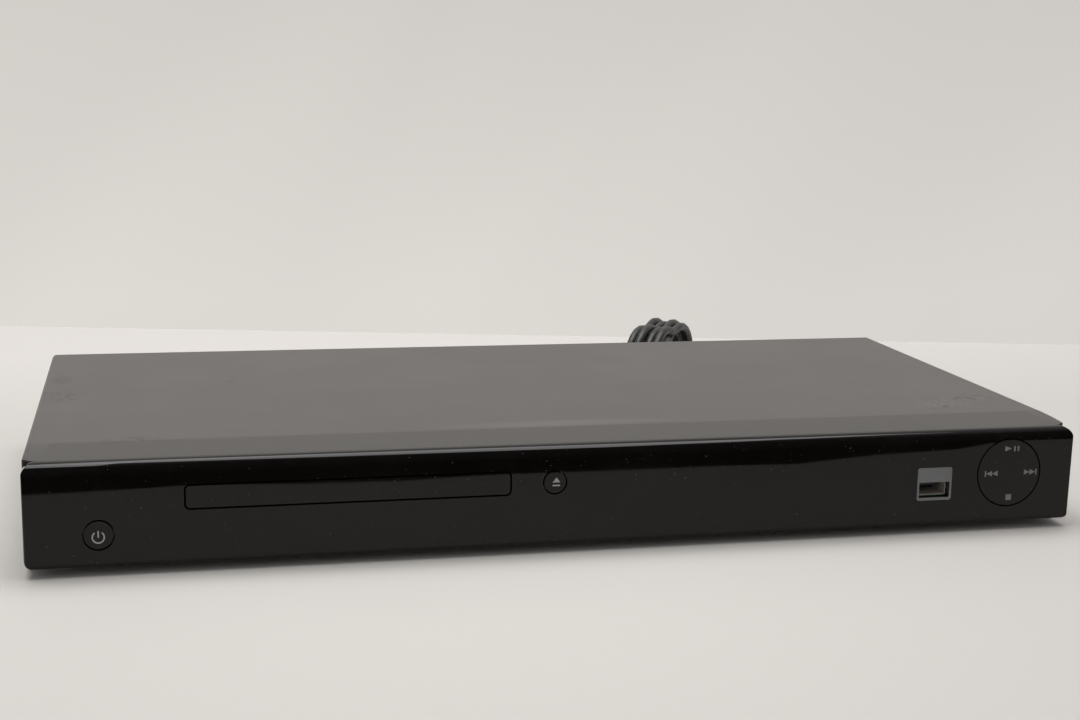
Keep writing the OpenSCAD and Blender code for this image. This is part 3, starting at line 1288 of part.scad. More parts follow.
hank_loops = [for (i = [0:hank_rings * (hank_turns + 0.25)]) hank_point(hank_first + i / hank_rings)];
hank_start = hank_loops[0] - hank_u * lead_dia;
hank_end = hank_loops[len(hank_loops) - 1] + hank_u * lead_dia;
hank_line = concat([hank_start], hank_loops, [hank_end]);

// The least gap between one stretch of the hank and another
hank_gap = min([for (i = [0:len(hank_line) - 1], j = [i + 8:1:len(hank_line) - 1])
    norm(hank_line[i] - hank_line[j])]) - lead_dia;
echo(least_gap_in_hank = hank_gap);

// From the strain relief to the hank, and from the hank to the plug
mains_route = [
    [lead_x, relief_d1 - 16, lead_z], [lead_x, relief_d1 - 6, lead_z],
    [lead_x + 0.2, body_d + 26, 18.6], [lead_x + 0.8, body_d + 40, 13.5], [lead_x, body_d + 55, 6],
    [lead_x - 4, body_d + 74, lead_low_z + 0.3], [lead_x - 17, body_d + 90, lead_low_z],
    [lead_x - 36, body_d + 93, lead_low_z], [lead_x - 52, body_d + 83, lead_low_z],
    hank_end + hank_u * 12, hank_end
];
plug_route = [
    hank_start, hank_start - hank_u * 5,
    [hank_x - 29, body_d + 22.5, lead_low_z], [hank_x - 43, body_d + 15.5, lead_low_z],
    [hank_x - 62, body_d + 14, lead_low_z], [hank_x - 88, body_d + 17, lead_low_z],
    [hank_x - 110, body_d + 22, lead_low_z + 1], [hank_x - 134, body_d + 27, 6],
    [hank_x - 158, body_d + 32, 8]
];
plug_from = plug_route[len(plug_route) - 1];

module mains_lead() color("#1b1b1c") at_front() tube(smooth(mains_route, 3), lead_dia / 2, 8, [1, 0, 0]);
module plug_lead() color("#1b1b1c") at_front() tube(smooth(plug_route, 3), lead_dia / 2, 8, [0, 0, 1]);
module lead_hank() color("#1b1b1c") at_front() tube(hank_line, lead_dia / 2, 6, hank_w);

// A strap round the lower runs of the hank
module hank_tie() color("#2a2a2a") at_front() translate(hank_centre) rotate([0, 0, -hank_turn]) {
    outer_run = hank_out_r + hank_step / 8 - hank_draw;
    inner_run = hank_in_r - hank_draw;
    w = hank_layer * 3 + lead_dia + 1.2;
    h = outer_run - inner_run + lead_dia + 1.6;
    translate([0, 0, -(outer_run + inner_run) / 2]) difference() {
        front_solid(-3, 3) round_rect(w + 1.6, h + 1.6, 3);
        front_solid(-4, 4) round_rect(w, h, 2.2);
    }
}

plug_turn = 79;

module mains_plug() color("#1b1b1c") at_front() translate(plug_from) rotate([0, 0, plug_turn]) {
    difference() {
        union() {
            y_bar(3.6, -0.02, 5);
            translate([0, 14.5, 0]) linear_extrude(15, center = true) round_rect(24, 20, 4);
        }
        for (s = [-1, 1]) translate([s * 14.2, 12, -20]) cylinder(r = 4, h = 40);
    }
    for (s = [-1, 1]) span([s * 6.35 - 0.75, 24.4, -3.2], [s * 6.35 + 0.75, 41, 3.2]);
}

// ---------------------------------------------------------------- nodes

chassis();
rear_panel();
top_cover();
front_bezel();
foot(0);  // foot_front_left
foot(1);  // foot_front_right
foot(2);  // foot_rear_left
foot(3);  // foot_rear_right
case_screws();
loader_screws();
board_screws();
tray_door();
power_button();
eject_button();
keypad_disc();
keypad_cross();
usb_plate();
usb_shell();
usb_insert();
usb_board();
power_key_board();
eject_key_board();
keypad_board();
key_switches();
loader_frame();
loader_dampers();
tray();
loading_motor();
motor_pulley();
drive_belt();
pulley_gear();
drive_gear();
cam_slider();
traverse();
spindle_motor();
turntable();
pickup();
pickup_lens();
guide_rods();
sled_motor();
lead_screw();
clamp_bridge();
clamper();
power_board();
transformer();
capacitors();
heat_sink();
mains_input();
main_board();
main_chips();
av_jacks();
hdmi_socket();
flat_cables();
power_wires();
strain_relief();
mains_lead();
lead_hank();
hank_tie();
plug_lead();
mains_plug();
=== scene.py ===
import json
import math

import bmesh
import bpy
from mathutils import Matrix, Vector


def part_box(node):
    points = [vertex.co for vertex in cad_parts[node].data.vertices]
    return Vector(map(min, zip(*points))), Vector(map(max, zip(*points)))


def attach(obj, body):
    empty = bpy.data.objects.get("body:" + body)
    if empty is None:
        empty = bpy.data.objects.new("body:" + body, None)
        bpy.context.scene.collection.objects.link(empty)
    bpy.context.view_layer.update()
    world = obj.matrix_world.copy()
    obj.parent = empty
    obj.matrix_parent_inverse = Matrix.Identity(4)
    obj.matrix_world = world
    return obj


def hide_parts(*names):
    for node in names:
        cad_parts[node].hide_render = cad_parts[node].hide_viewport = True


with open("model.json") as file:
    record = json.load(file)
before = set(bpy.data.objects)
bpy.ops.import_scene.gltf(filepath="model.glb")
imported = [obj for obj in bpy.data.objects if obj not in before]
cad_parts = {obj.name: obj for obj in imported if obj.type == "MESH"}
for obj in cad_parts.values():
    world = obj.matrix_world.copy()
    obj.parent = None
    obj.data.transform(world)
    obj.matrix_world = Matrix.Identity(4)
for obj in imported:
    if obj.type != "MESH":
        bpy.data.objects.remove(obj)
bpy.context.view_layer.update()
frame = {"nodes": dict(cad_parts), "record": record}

nodes = frame["nodes"]

# ------------------------------------------------------------------ sizes, in metres

BODY_D = 0.207
BODY_H = 0.045
CREASE_D = 0.0282
FACE_LEAN = math.radians(1.5)
BEZEL_LOW = 0.0035
FRONT_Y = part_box("top_cover")[1].y - BODY_D


def at(x, depth, z):
    """A point from its place across, its depth behind the front face and its height."""
    return Vector((x, FRONT_Y + depth, z))


def face_depth(z):
    """How far back the leaning face is at a height."""
    return (z - BEZEL_LOW) * math.tan(FACE_LEAN)


# ------------------------------------------------------------------ camera

CAMERA_PLACE = (-0.164502, -0.595538, 0.199282)
CAMERA_YAW = 0.237106
CAMERA_PITCH = 0.194429
CAMERA_ROLL = 0.022921
CAMERA_LENS = 53.609


def make_camera():
    data = bpy.data.cameras.new("camera")
    data.sensor_width = 36
    data.lens = CAMERA_LENS
    data.clip_start = 0.01
    data.clip_end = 50
    camera = bpy.data.objects.new("camera", data)
    bpy.context.scene.collection.objects.link(camera)
    turn = (
        Matrix.Rotation(-CAMERA_YAW, 4, "Z")
        @ Matrix.Rotation(math.pi / 2 - CAMERA_PITCH, 4, "X")
        @ Matrix.Rotation(CAMERA_ROLL, 4, "Z")
    )
    camera.matrix_world = Matrix.Translation(at(*CAMERA_PLACE)) @ turn
    bpy.context.scene.camera = camera


make_camera()

# ------------------------------------------------------------------ mesh helpers


def select_only(piece):
    """Leaves one piece selected and active."""
    bpy.ops.object.select_all(action="DESELECT")
    piece.select_set(True)
    bpy.context.view_layer.objects.active = piece


def place_in_mesh(piece, name):
    """Names a piece and moves its place, turn and size into its mesh."""
    select_only(piece)
    bpy.ops.object.transform_apply(location=True, rotation=True, scale=True)
    piece.name = name
    piece.data.name = name


def apply_modifier(piece, kind, **settings):
    select_only(piece)
    modifier = piece.modifiers.new(kind.lower(), kind)
    for key, value in settings.items():
        setattr(modifier, key, value)
    bpy.ops.object.modifier_apply(modifier=modifier.name)


def join(first, *others):
    """Joins pieces into the first one."""
    bpy.ops.object.select_all(action="DESELECT")
    for piece in (first, *others):
        piece.select_set(True)
    bpy.context.view_layer.objects.active = first
    bpy.ops.object.join()
    return first


def merged_copy(node, name):
    """A copy of a CAD node with its loose triangles merged and its flat faces made whole."""
    copy = bpy.data.objects.new(name, nodes[node].data.copy())
    bpy.context.scene.collection.objects.link(copy)
    select_only(copy)
    bpy.ops.object.mode_set(mode="EDIT")
    bpy.ops.mesh.select_all(action="SELECT")
    bpy.ops.mesh.remove_doubles(threshold=0.000002)
    bpy.ops.mesh.dissolve_limited(angle_limit=math.radians(0.2))
    bpy.ops.object.mode_set(mode="OBJECT")
    copy.data.materials.clear()
    return copy


def bevel_where(piece, wanted, width, segments):
    """Rounds the edges that wanted(first end, second end) picks."""
    select_only(piece)
    bpy.ops.object.mode_set(mode="EDIT")
    bpy.ops.mesh.select_mode(type="EDGE")
    bpy.ops.mesh.select_all(action="DESELECT")
    mesh = bmesh.from_edit_mesh(piece.data)
    for edge in mesh.edges:
        edge.select_set(wanted(*(v.co for v in edge.verts)))
    bmesh.update_edit_mesh(piece.data)
    bpy.ops.mesh.bevel(offset=width, segments=segments, clamp_overlap=True)
    bpy.ops.object.mode_set(mode="OBJECT")


def round_edges(piece, width, segments=2, angle=40):
    """Rounds every sharp edge and smooths the shading over it."""
    apply_modifier(
        piece, "BEVEL", width=width, segments=segments, limit_method="ANGLE",
        angle_limit=math.radians(angle), use_clamp_overlap=True,
    )
    shade_smooth(piece)


def shade_smooth(piece, degrees=40):
    select_only(piece)
    bpy.ops.object.shade_smooth_by_angle(angle=math.radians(degrees))
    apply_modifier(piece, "WEIGHTED_NORMAL", keep_sharp=True, weight=80)


def rides(piece, body, finish, slot, *replaced):
    """Gives a piece its finish and its body, and hides the CAD nodes that it stands for."""
    piece.data.materials.clear()
    piece.data.materials.append(finish)
    if replaced:
        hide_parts(*replaced)
    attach(piece, body)


# ------------------------------------------------------------------ tools for finishes


def set_range(node, start, end, low, high):
    """Sets a Map Range node's four limits."""
    limits = (("From Min", start), ("From Max", end), ("To Min", low), ("To Max", high))
    for key, number in limits:
        node.inputs[key].default_value = number


def shaded(colour, by):
    """A colour made darker or lighter."""
    return tuple(min(c * by, 1) for c in colour)


class Finish:
    """A material's nodes, with short ways to add patches, grain and marks in metres."""

    def __init__(self, name, **sockets):
        self.material = bpy.data.materials.new(name)
        self.material.use_nodes = True
        self.tree = self.material.node_tree
        self.shader = self.tree.nodes["Principled BSDF"]
        self.place = self.tree.nodes.new("ShaderNodeTexCoord").outputs["Object"]
        self.normal = None
        for key, value in sockets.items():
            self.shader.inputs[key.replace("_", " ")].default_value = value

    def link(self, output, socket):
        self.tree.links.new(output, self.shader.inputs[socket])

    def stretched(self, scale, centre=(0, 0, 0), turn=(0, 0, 0)):
        """Coordinates that are centred, turned and stretched."""
        node = self.tree.nodes.new("ShaderNodeMapping")
        node.vector_type = "TEXTURE"
        node.inputs["Location"].default_value = centre
        node.inputs["Rotation"].default_value = turn
        node.inputs["Scale"].default_value = scale
        self.tree.links.new(self.place, node.inputs["Vector"])
        return node.outputs["Vector"]

    def noise(self, size, detail=3.0, warp=0.0, place=None):
        """Noise whose patches are about one size across."""
        node = self.tree.nodes.new("ShaderNodeTexNoise")
        node.inputs["Scale"].default_value = 1 / size
        node.inputs["Detail"].default_value = detail
        node.inputs["Distortion"].default_value = warp
        self.tree.links.new(place or self.place, node.inputs["Vector"])
        return node.outputs["Fac"]

    def cells(self, size, kind="DISTANCE_TO_EDGE", place=None):
        """Distances in a net of cells of one size."""
        node = self.tree.nodes.new("ShaderNodeTexVoronoi")
        node.feature = kind
        node.inputs["Scale"].default_value = 1 / size
        self.tree.links.new(place or self.place, node.inputs["Vector"])
        return node.outputs["Distance"]

    def ball(self, place):
        """1 at the middle of stretched coordinates, falling to 0 at a distance of 1."""
        node = self.tree.nodes.new("ShaderNodeTexGradient")
        node.gradient_type = "SPHERICAL"
        self.tree.links.new(place, node.inputs["Vector"])
        return node.outputs["Fac"]

    def waves(self, size, direction="X", place=None, warp=0.0):
        node = self.tree.nodes.new("ShaderNodeTexWave")
        node.bands_direction = direction
        node.inputs["Scale"].default_value = 0.314 / size
        node.inputs["Distortion"].default_value = warp
        self.tree.links.new(place or self.place, node.inputs["Vector"])
        return node.outputs["Fac"]

    def spread(self, value, low, high, start=0.3, end=0.7):
        """Maps a value between start and end to between low and high."""
        node = self.tree.nodes.new("ShaderNodeMapRange")
        set_range(node, start, end, low, high)
        self.tree.links.new(value, node.inputs["Value"])
        return node.outputs["Result"]

    def band(self, value, rise, full, fade, end):
        """1 where a value lies between full and fade, and 0 before rise and after end."""
        return self.times(self.spread(value, 0, 1, rise, full), self.spread(value, 1, 0, fade, end))

    def along(self, axis):
        """A point's place along one axis."""
        node = self.tree.nodes.new("ShaderNodeSeparateXYZ")
        self.tree.links.new(self.place, node.inputs[0])
        return node.outputs[axis]

    def times(self, first, second):
        node = self.tree.nodes.new("ShaderNodeMath")
        node.operation = "MULTIPLY"
        self.tree.links.new(first, node.inputs[0])
        self.tree.links.new(second, node.inputs[1])
        return node.outputs[0]

    def mixed(self, amount, first, second):
        """A colour between two, each given as numbers or as another node's output."""
        node = self.tree.nodes.new("ShaderNodeMix")
        node.data_type = "RGBA"
        for socket, colour in ((node.inputs[6], first), (node.inputs[7], second)):
            if isinstance(colour, tuple):
                socket.default_value = (*colour, 1)
            else:
                self.tree.links.new(colour, socket)
        self.tree.links.new(amount, node.inputs["Factor"])
        return node.outputs[2]

    def lift(self, height, depth):
        """Adds relief of a depth, on top of the relief so far."""
        bump = self.tree.nodes.new("ShaderNodeBump")
        bump.inputs["Distance"].default_value = depth
        self.tree.links.new(height, bump.inputs["Height"])
        if self.normal:
            self.tree.links.new(self.normal, bump.inputs["Normal"])
        self.normal = bump.outputs["Normal"]
        self.link(self.normal, "Normal")

    def patchy(self, colour, roughness, patch=0.02, change=0.12, spread=0.06):
        """Soft patches of colour and gloss."""
        patches = self.noise(patch)
        share = self.spread(patches, 0, 1)
        colours = self.mixed(share, shaded(colour, 1 - change), shaded(colour, 1 + change))
        self.link(colours, "Base Color")
        low, high = max(roughness - spread, 0.01), min(roughness + spread, 1)
        self.link(self.spread(patches, low, high), "Roughness")
        return colours


def moulded(name, colour, roughness, grain=0.0005, depth=0.000008, **sockets):
    """Moulded plastic or rubber with a fine spark-eroded grain."""
    finish = Finish(name, **sockets)
    finish.patchy(colour, roughness)
    finish.lift(finish.noise(grain, 2), depth)
    return finish.material


def rolled_metal(name, colour, roughness, stretch=(0.02, 1, 0.02), lines=0.02, metallic=1.0):
    """Sheet or turned metal with fine rolling lines and soft clouding."""
    finish = Finish(name, Metallic=metallic)
    finish.patchy(colour, roughness, 0.03, 0.08, 0.05)
    fine = finish.noise(lines, 2, place=finish.stretched(stretch))
    finish.lift(fine, 0.000006)
    return finish.material


# ------------------------------------------------------------------ finishes of the case


COVER_PAINT = (0.060, 0.0555, 0.052)
SCUFF_PALE = (0.115, 0.11, 0.105)
SCUFF_DARK = (0.012, 0.011, 0.010)
NICK_DARK = (0.004, 0.004, 0.004)
MARK_DARK = (0.015, 0.014, 0.013)
# Painted shade for the sloped strip ahead of the crease
SLOPE_SHADE = (0.026, 0.024, 0.022)
SMEAR_GREY = (0.045, 0.042, 0.040)
# Painted highlight just behind the crease
CREASE_HIGHLIGHT = (0.12, 0.115, 0.105)

# Small dark marks on the cover: place across, depth, and how wide and deep they are
COVER_MARKS = (
    (-0.176, 0.029, 0.014, 0.006),
    (-0.208, 0.146, 0.006, 0.010),
    (-0.132, 0.137, 0.005, 0.008),
)


def on_cover(finish, x, depth, wide, deep, turn=0.0, high=0.012):
    """1 at a place on the cover's top, falling to 0 at the rim of an oval."""
    return finish.ball(finish.stretched((wide, deep, high), at(x, depth, BODY_H), (0, 0, turn)))


def scuffed(finish, colour):
    """Pale and dark curls of wear near the right front corner."""
    worn = on_cover(finish, 0.184, 0.050, 0.033, 0.011, 0.42)
    curl = finish.noise(0.006, 1.5, 1.8, finish.stretched((1.5, 1.9, 1), turn=(0, 0, 0.4)))
    ridges = finish.band(curl, 0.49, 0.52, 0.53, 0.57)
    pale = finish.times(ridges, finish.spread(worn, 0, 0.7, 0.05, 0.5))
    hollows = finish.spread(curl, 1, 0, 0.42, 0.45)
    dark = finish.times(hollows, finish.spread(worn, 0, 0.8, 0.05, 0.5))
    return finish.mixed(dark, finish.mixed(pale, colour, SCUFF_PALE), SCUFF_DARK)


def nicked(finish, colour):
    """Dark lines at the left edge, and a few small dark marks."""
    edge = on_cover(finish, -0.210, 0.112, 0.013, 0.016, 0.2)
    thread = finish.noise(0.006, 2, 1.5, finish.stretched((1.3, 3.2, 1), turn=(0, 0, 0.15)))
    thin = finish.band(thread, 0.47, 0.485, 0.50, 0.515)
    lines = finish.times(thin, finish.spread(edge, 0, 1, 0.05, 0.3))
    colour = finish.mixed(lines, colour, NICK_DARK)
    rubbed = finish.noise(0.004, 2, 1.0, finish.stretched((2, 1.6, 1)))
    rubbed = finish.spread(rubbed, 0, 1, 0.44, 0.56)
    for mark in COVER_MARKS:
        spot = finish.spread(on_cover(finish, *mark, high=0.01), 0, 0.75, 0, 0.5)
        colour = finish.mixed(finish.times(rubbed, spot), colour, MARK_DARK)
    return colour


def cover_paint():
    """Charcoal powder paint on steel, with a fine pebbled skin, handling marks and a few scuffs,
    painted shade on the sloped front strip and a painted highlight behind the crease.
    """
    finish = Finish("cover_paint", Specular_IOR_Level=0.6)
    colour = finish.patchy(COVER_PAINT, 0.37, 0.05, 0.08, 0.03)
    colour = nicked(finish, scuffed(finish, colour))
    # Painted shade: the sloped strip ahead of the crease is darkened.
    slope_end = FRONT_Y + CREASE_D
    ahead = finish.spread(finish.along("Y"), 1, 0, slope_end - 0.001, slope_end)
    colour = finish.mixed(finish.spread(ahead, 0, 0.4, 0, 1), colour, SLOPE_SHADE)
    cloud = finish.spread(finish.noise(0.006, 3, 1.5), 0, 1, 0.5, 0.7)
    smear = finish.spread(on_cover(finish, -0.185, 0.075, 0.03, 0.05, -0.3, 0.02), 0, 0.4)
    colour = finish.mixed(finish.times(cloud, smear), colour, SMEAR_GREY)
    # Painted highlight: a pale band just behind the crease, where the bend catches the light.
    crease_highlight = on_cover(finish, -0.004, 0.0335, 0.060, 0.0065, high=0.01)
    colour = finish.mixed(finish.spread(crease_highlight, 0, 0.5, 0, 0.7), colour, CREASE_HIGHLIGHT)
    finish.link(colour, "Base Color")
    finish.lift(finish.noise(0.00055, 2), 0.000018)
    finish.lift(finish.noise(0.012, 2), 0.00003)
    return finish.material


def gloss_black():
    """High-gloss black plastic, slightly wavy, with dust."""
    finish = Finish("gloss_black", Specular_IOR_Level=0.28)
    colour = finish.patchy((0.0042, 0.0035, 0.0032), 0.035, 0.03, 0.1, 0.01)
    dust = finish.spread(finish.noise(0.0009, 1), 0, 0.35, 0.76, 0.80)
    haze = finish.spread(finish.noise(0.018, 4, 1.2), 0, 0.02, 0.45, 0.8)
    colour = finish.mixed(dust, colour, (0.28, 0.27, 0.25))
    colour = finish.mixed(haze, colour, (0.1, 0.1, 0.095))
    finish.link(colour, "Base Color")
    finish.lift(finish.noise(0.035, 1), 0.00004)
    return finish.material


def circuit_board():
    """Green solder resist over copper lines, with tinned pads."""
    finish = Finish("circuit_board")
    patches = finish.spread(finish.noise(0.03), 0, 1)
    green = finish.mixed(patches, (0.012, 0.075, 0.03), (0.018, 0.1, 0.042))
    lines = finish.spread(finish.cells(0.006), 1, 0, 0.02, 0.045)
    traced = finish.mixed(lines, green, (0.04, 0.17, 0.07))
    pads = finish.spread(finish.cells(0.0035, "F1"), 1, 0, 0.12, 0.16)
    finish.link(finish.mixed(pads, traced, (0.55, 0.56, 0.54)), "Base Color")
    finish.link(finish.spread(pads, 0.35, 0.22, 0, 1), "Roughness")
    finish.lift(lines, 0.00003)
    return finish.material


def wound_copper():
    """Enamelled wire, in fine turns, over a steel core."""
    finish = Finish("wound_copper", Metallic=0.7)
    turns = finish.waves(0.0003, "Z", warp=0.6)
    finish.link(finish.mixed(turns, (0.14, 0.05, 0.02), (0.52, 0.22, 0.09)), "Base Color")
    finish.link(finish.spread(finish.noise(0.003), 0.28, 0.42), "Roughness")
    finish.lift(turns, 0.00005)
    return finish.material


def lens_glass():
    finish = Finish("lens_glass", Roughness=0.03, IOR=1.5, Coat_Weight=0.5, Transmission_Weight=0.7)
    tint = finish.spread(finish.noise(0.004), 0, 1)
    finish.link(finish.mixed(tint, (0.35, 0.5, 0.75), (0.55, 0.7, 0.8)), "Base Color")
    return finish.material


def cable_film():
    """Flat cable: bare conductors seen through pale film."""
    finish = Finish("cable_film")
    strips = finish.waves(0.001, "X")
    finish.link(finish.mixed(strips, (0.75, 0.73, 0.66), (0.5, 0.5, 0.48)), "Base Color")
    finish.link(finish.spread(finish.noise(0.01), 0.3, 0.42), "Roughness")
    finish.lift(strips, 0.00003)
    return finish.material


def lead_sheath():
    """Soft black cable sheath, slightly dusty."""
    finish = Finish("lead_sheath")
    finish.patchy((0.030, 0.029, 0.028), 0.42, 0.015, 0.2, 0.08)
    finish.lift(finish.noise(0.0008, 3), 0.00002)
    return finish.material


finishes = {
    "cover_paint": cover_paint(),
    "gloss_black": gloss_black(),
    "circuit_board": circuit_board(),
    "copper_wound": wound_copper(),
    "lens_glass": lens_glass(),
    "cable_film": cable_film(),
    "lead_sheath": lead_sheath(),
    "sheet_steel": rolled_metal(
        "zinc_plated_steel", (0.56, 0.57, 0.57), 0.34, (0.3, 0.02, 0.3), 0.004,
    ),
    "screw_black": moulded(
        "blackened_screws", (0.018, 0.018, 0.02), 0.35, 0.0003, 0.000004, Metallic=0.6,
    ),
    "screw_zinc": rolled_metal("zinc_screws", (0.6, 0.6, 0.57), 0.28, (1, 1, 0.1), 0.0006),
    "foot_rubber": moulded("foot_rubber", (0.018, 0.018, 0.018), 0.7, 0.0006, 0.00003),
    "grey_plate": moulded("grey_plate", (0.155, 0.158, 0.161), 0.32, 0.0004, 0.000004),
    "socket_steel": rolled_metal(
        "socket_steel", (0.74, 0.70, 0.62), 0.34, (0.02, 1, 0.02), 0.01, 0.55,
    ),
    "white_plastic": moulded("white_plastic", (0.72, 0.70, 0.65), 0.38),
    "switch_body": moulded("black_epoxy", (0.022, 0.022, 0.024), 0.45, 0.0003, 0.000006),
    "tray_plastic": moulded("tray_plastic", (0.016, 0.016, 0.017), 0.4, 0.0004, 0.00001),
    "frame_plastic": moulded("frame_plastic", (0.022, 0.022, 0.024), 0.46, 0.0006, 0.00001),
    "damper_rubber": moulded("damper_rubber", (0.06, 0.045, 0.035), 0.65),
    "belt_rubber": moulded("belt_rubber", (0.009, 0.009, 0.009), 0.6, 0.0004, 0.00001),
    "gear_plastic": moulded("gear_plastic", (0.74, 0.71, 0.62), 0.36),
    "motor_steel": rolled_metal("motor_steel", (0.6, 0.61, 0.62), 0.26, (0.3, 0.3, 0.02), 0.002),
    "pickup_metal": moulded(
        "pickup_casting", (0.07, 0.074, 0.085), 0.5, 0.0005, 0.00002, Metallic=0.6,
    ),
    "polished_steel": rolled_metal("polished_steel", (0.66, 0.67, 0.68), 0.12, (1, 0.02, 1), 0.002),
    "clamper_plastic": moulded("clamper_plastic", (0.62, 0.61, 0.55), 0.4),
    "core_ferrite": moulded("ferrite_core", (0.035, 0.034, 0.036), 0.55, 0.0008, 0.00002),
    "capacitor_sleeve": moulded("capacitor_sleeve", (0.012, 0.018, 0.045), 0.28, 0.002, 0.00001),
    "bare_aluminium": rolled_metal(
        "bare_aluminium", (0.66, 0.67, 0.68), 0.3, (0.02, 1, 0.3), 0.003,
    ),
    "input_parts": moulded("input_parts", (0.22, 0.2, 0.12), 0.45),
    "jack_plated": rolled_metal("jack_plating", (0.66, 0.64, 0.58), 0.2, (1, 0.1, 1), 0.001),
    "wire_sheath": moulded("wire_sheath", (0.42, 0.3, 0.05), 0.42),
    "tie_plastic": moulded("tie_plastic", (0.012, 0.012, 0.012), 0.5),
}

finish_of = {part["node"]: part["material_slot"] for part in frame["record"]["subparts"]}
finish_of["usb_insert"] = "switch_body"
for node, piece in nodes.items():
    piece.data.materials.clear()
    piece.data.materials.append(finishes[finish_of[node]])

# ------------------------------------------------------------------ the mains lead

LEAD_D = 0.0046
LEAD_LOW = 0.00245
HANK_CENTRE = at(0.110, 0.255, 0.0250)
HANK_TURN = math.radians(38)
HANK_RUN = 0.022
HANK_STEP = 0.0052
HANK_TURNS = 6
TURNS_A_LAYER = 1.5
LAYER_CHANGES = (1.25, 2.75, 4.25)
HANK_DRAW = 0.0016
HANK_INNER = 0.014
HANK_OUTER = HANK_INNER + TURNS_A_LAYER * HANK_STEP
HANK_END = 0.125
POINTS_A_TURN = 48
hank_along = Vector((math.sin(HANK_TURN), math.cos(HANK_TURN), 0))
hank_across = Vector((math.cos(HANK_TURN), -math.sin(HANK_TURN), 0))


def ease(value):
    value = min(max(value, 0), 1)
    return value * value * (3 - 2 * value)


def hank_radius(turn):
    """The fold's radius: each layer winds in and the next one winds out."""
    if turn < 0:
        return HANK_OUTER - turn * HANK_STEP
    if turn > HANK_TURNS:
        return HANK_OUTER + (turn - HANK_TURNS) * HANK_STEP
    phase = (turn / TURNS_A_LAYER) % 2
    return HANK_OUTER - TURNS_A_LAYER * HANK_STEP * (phase if phase < 1 else 2 - phase)


def hank_point(turn):
    """A point of the folded lead, counted in turns."""
    radius = hank_radius(turn)
    quarter, part = divmod(((turn + 0.125) % 1) * 4, 1)
    angle = math.pi * part
    straight = HANK_RUN * (part - 0.5)
    inner = radius - HANK_DRAW * math.cos(math.pi * (part - 0.5)) ** 2
    along, up = (
        (straight, -inner),
        (HANK_RUN / 2 + radius * math.sin(angle), -radius * math.cos(angle)),
        (-straight, inner),
        (-HANK_RUN / 2 - radius * math.sin(angle), radius * math.cos(angle)),
    )[int(quarter)]
    layer = sum(ease((turn - change) / 0.5) for change in LAYER_CHANGES) - len(LAYER_CHANGES) / 2
    return HANK_CENTRE + hank_along * along + hank_across * HANK_STEP * layer + Vector((0, 0, up))


def eased_through(points, pieces=8):
    """A smooth line through the points."""
    line = []
    for i in range(len(points) - 1):
        a, b, c, d = (points[min(max(k, 0), len(points) - 1)] for k in (i - 1, i, i + 1, i + 2))
        for k in range(pieces):
            t = k / pieces
            line.append(
                0.5 * (2 * b + (c - a) * t + (2 * a - 5 * b + 4 * c - d) * t * t
                       + (3 * b - a - 3 * c + d) * t * t * t)
            )
    return line + [points[-1]]


def lead_line():
    """The whole lead, from the strain relief through the hank to the plug."""
    count = round((HANK_TURNS + 2 * HANK_END) * POINTS_A_TURN)
    loops = [hank_point(-HANK_END + i / POINTS_A_TURN) for i in range(count + 1)]
    start, end = loops[0] - hank_along * LEAD_D, loops[-1] + hank_along * LEAD_D
    mains = [at(*place) for place in (
        (0.190, 0.2071, 0.019), (0.190, 0.2141, 0.019), (0.190, 0.2241, 0.019),
        (0.1902, 0.233, 0.0186), (0.1908, 0.247, 0.0135), (0.190, 0.262, 0.006),
        (0.186, 0.281, LEAD_LOW + 0.0003),
        (0.173, 0.297, LEAD_LOW), (0.154, 0.300, LEAD_LOW), (0.138, 0.290, LEAD_LOW),
    )] + [end + hank_along * 0.012, end]
    plug = [start, start - hank_along * 0.005] + [at(*place) for place in (
        (0.081, 0.2295, LEAD_LOW), (0.067, 0.2225, LEAD_LOW), (0.048, 0.221, LEAD_LOW),
        (0.022, 0.224, LEAD_LOW), (0, 0.229, LEAD_LOW + 0.001), (-0.024, 0.234, 0.006),
        (-0.048, 0.239, 0.008),
    )]
    return eased_through(mains) + loops[::-1] + eased_through(plug)


def make_lead():
    line = lead_line()
    data = bpy.data.curves.new("lead", "CURVE")
    data.dimensions = "3D"
    data.bevel_depth = LEAD_D / 2
    data.bevel_resolution = 5
    data.use_fill_caps = True
    spline = data.splines.new("POLY")
    spline.points.add(len(line) - 1)
    for point, place in zip(spline.points, line):
        point.co = (*place, 1)
    spline.use_smooth = True
    lead = bpy.data.objects.new("lead", data)
    bpy.context.scene.collection.objects.link(lead)
    rides(
        lead, "base", finishes["lead_sheath"], "lead_sheath",
        "mains_lead", "lead_hank", "plug_lead",
    )


make_lead()

# ------------------------------------------------------------------ the case's visible pieces


def near(value, target, slack):
    return abs(value - target) < slack


COVER_HALF_W = 0.2150
COVER_EDGE_D = 0.0103
COVER_EDGE_LOW = 0.0426
COVER_REACH = 0.0030
COVER_DROP = 0.00012
COVER_CORNER = 0.0050
COVER_CUTS = (0.2055, 0.2085, 0.2105, 0.2120, 0.2132)
COVER_ROUND = 0.00022
CREASE_ROUND = 0.0012
BEZEL_ROUND = 0.0004


def cut_across(piece, *places):
    """Cuts a piece's faces through at places across, on both sides."""
    select_only(piece)
    bpy.ops.object.mode_set(mode="EDIT")
    for x in places:
        for side in (-1, 1):
            bpy.ops.mesh.select_all(action="SELECT")
            bpy.ops.mesh.bisect(plane_co=(side * x, 0, 0), plane_no=(1, 0, 0))
    bpy.ops.object.mode_set(mode="OBJECT")


def reach_over_rebate(cover):
    """Draws the cover's front edge on into the bezel's rebate, less so towards the corners."""
    cut_across(cover, *COVER_CUTS)
    for vertex in cover.data.vertices:
        place = vertex.co
        if near(place.y, FRONT_Y + COVER_EDGE_D, 0.0001) and place.z > COVER_EDGE_LOW:
            share = ease((COVER_HALF_W - abs(place.x)) / COVER_CORNER)
            place.y -= COVER_REACH * share
            place.z -= COVER_DROP * share


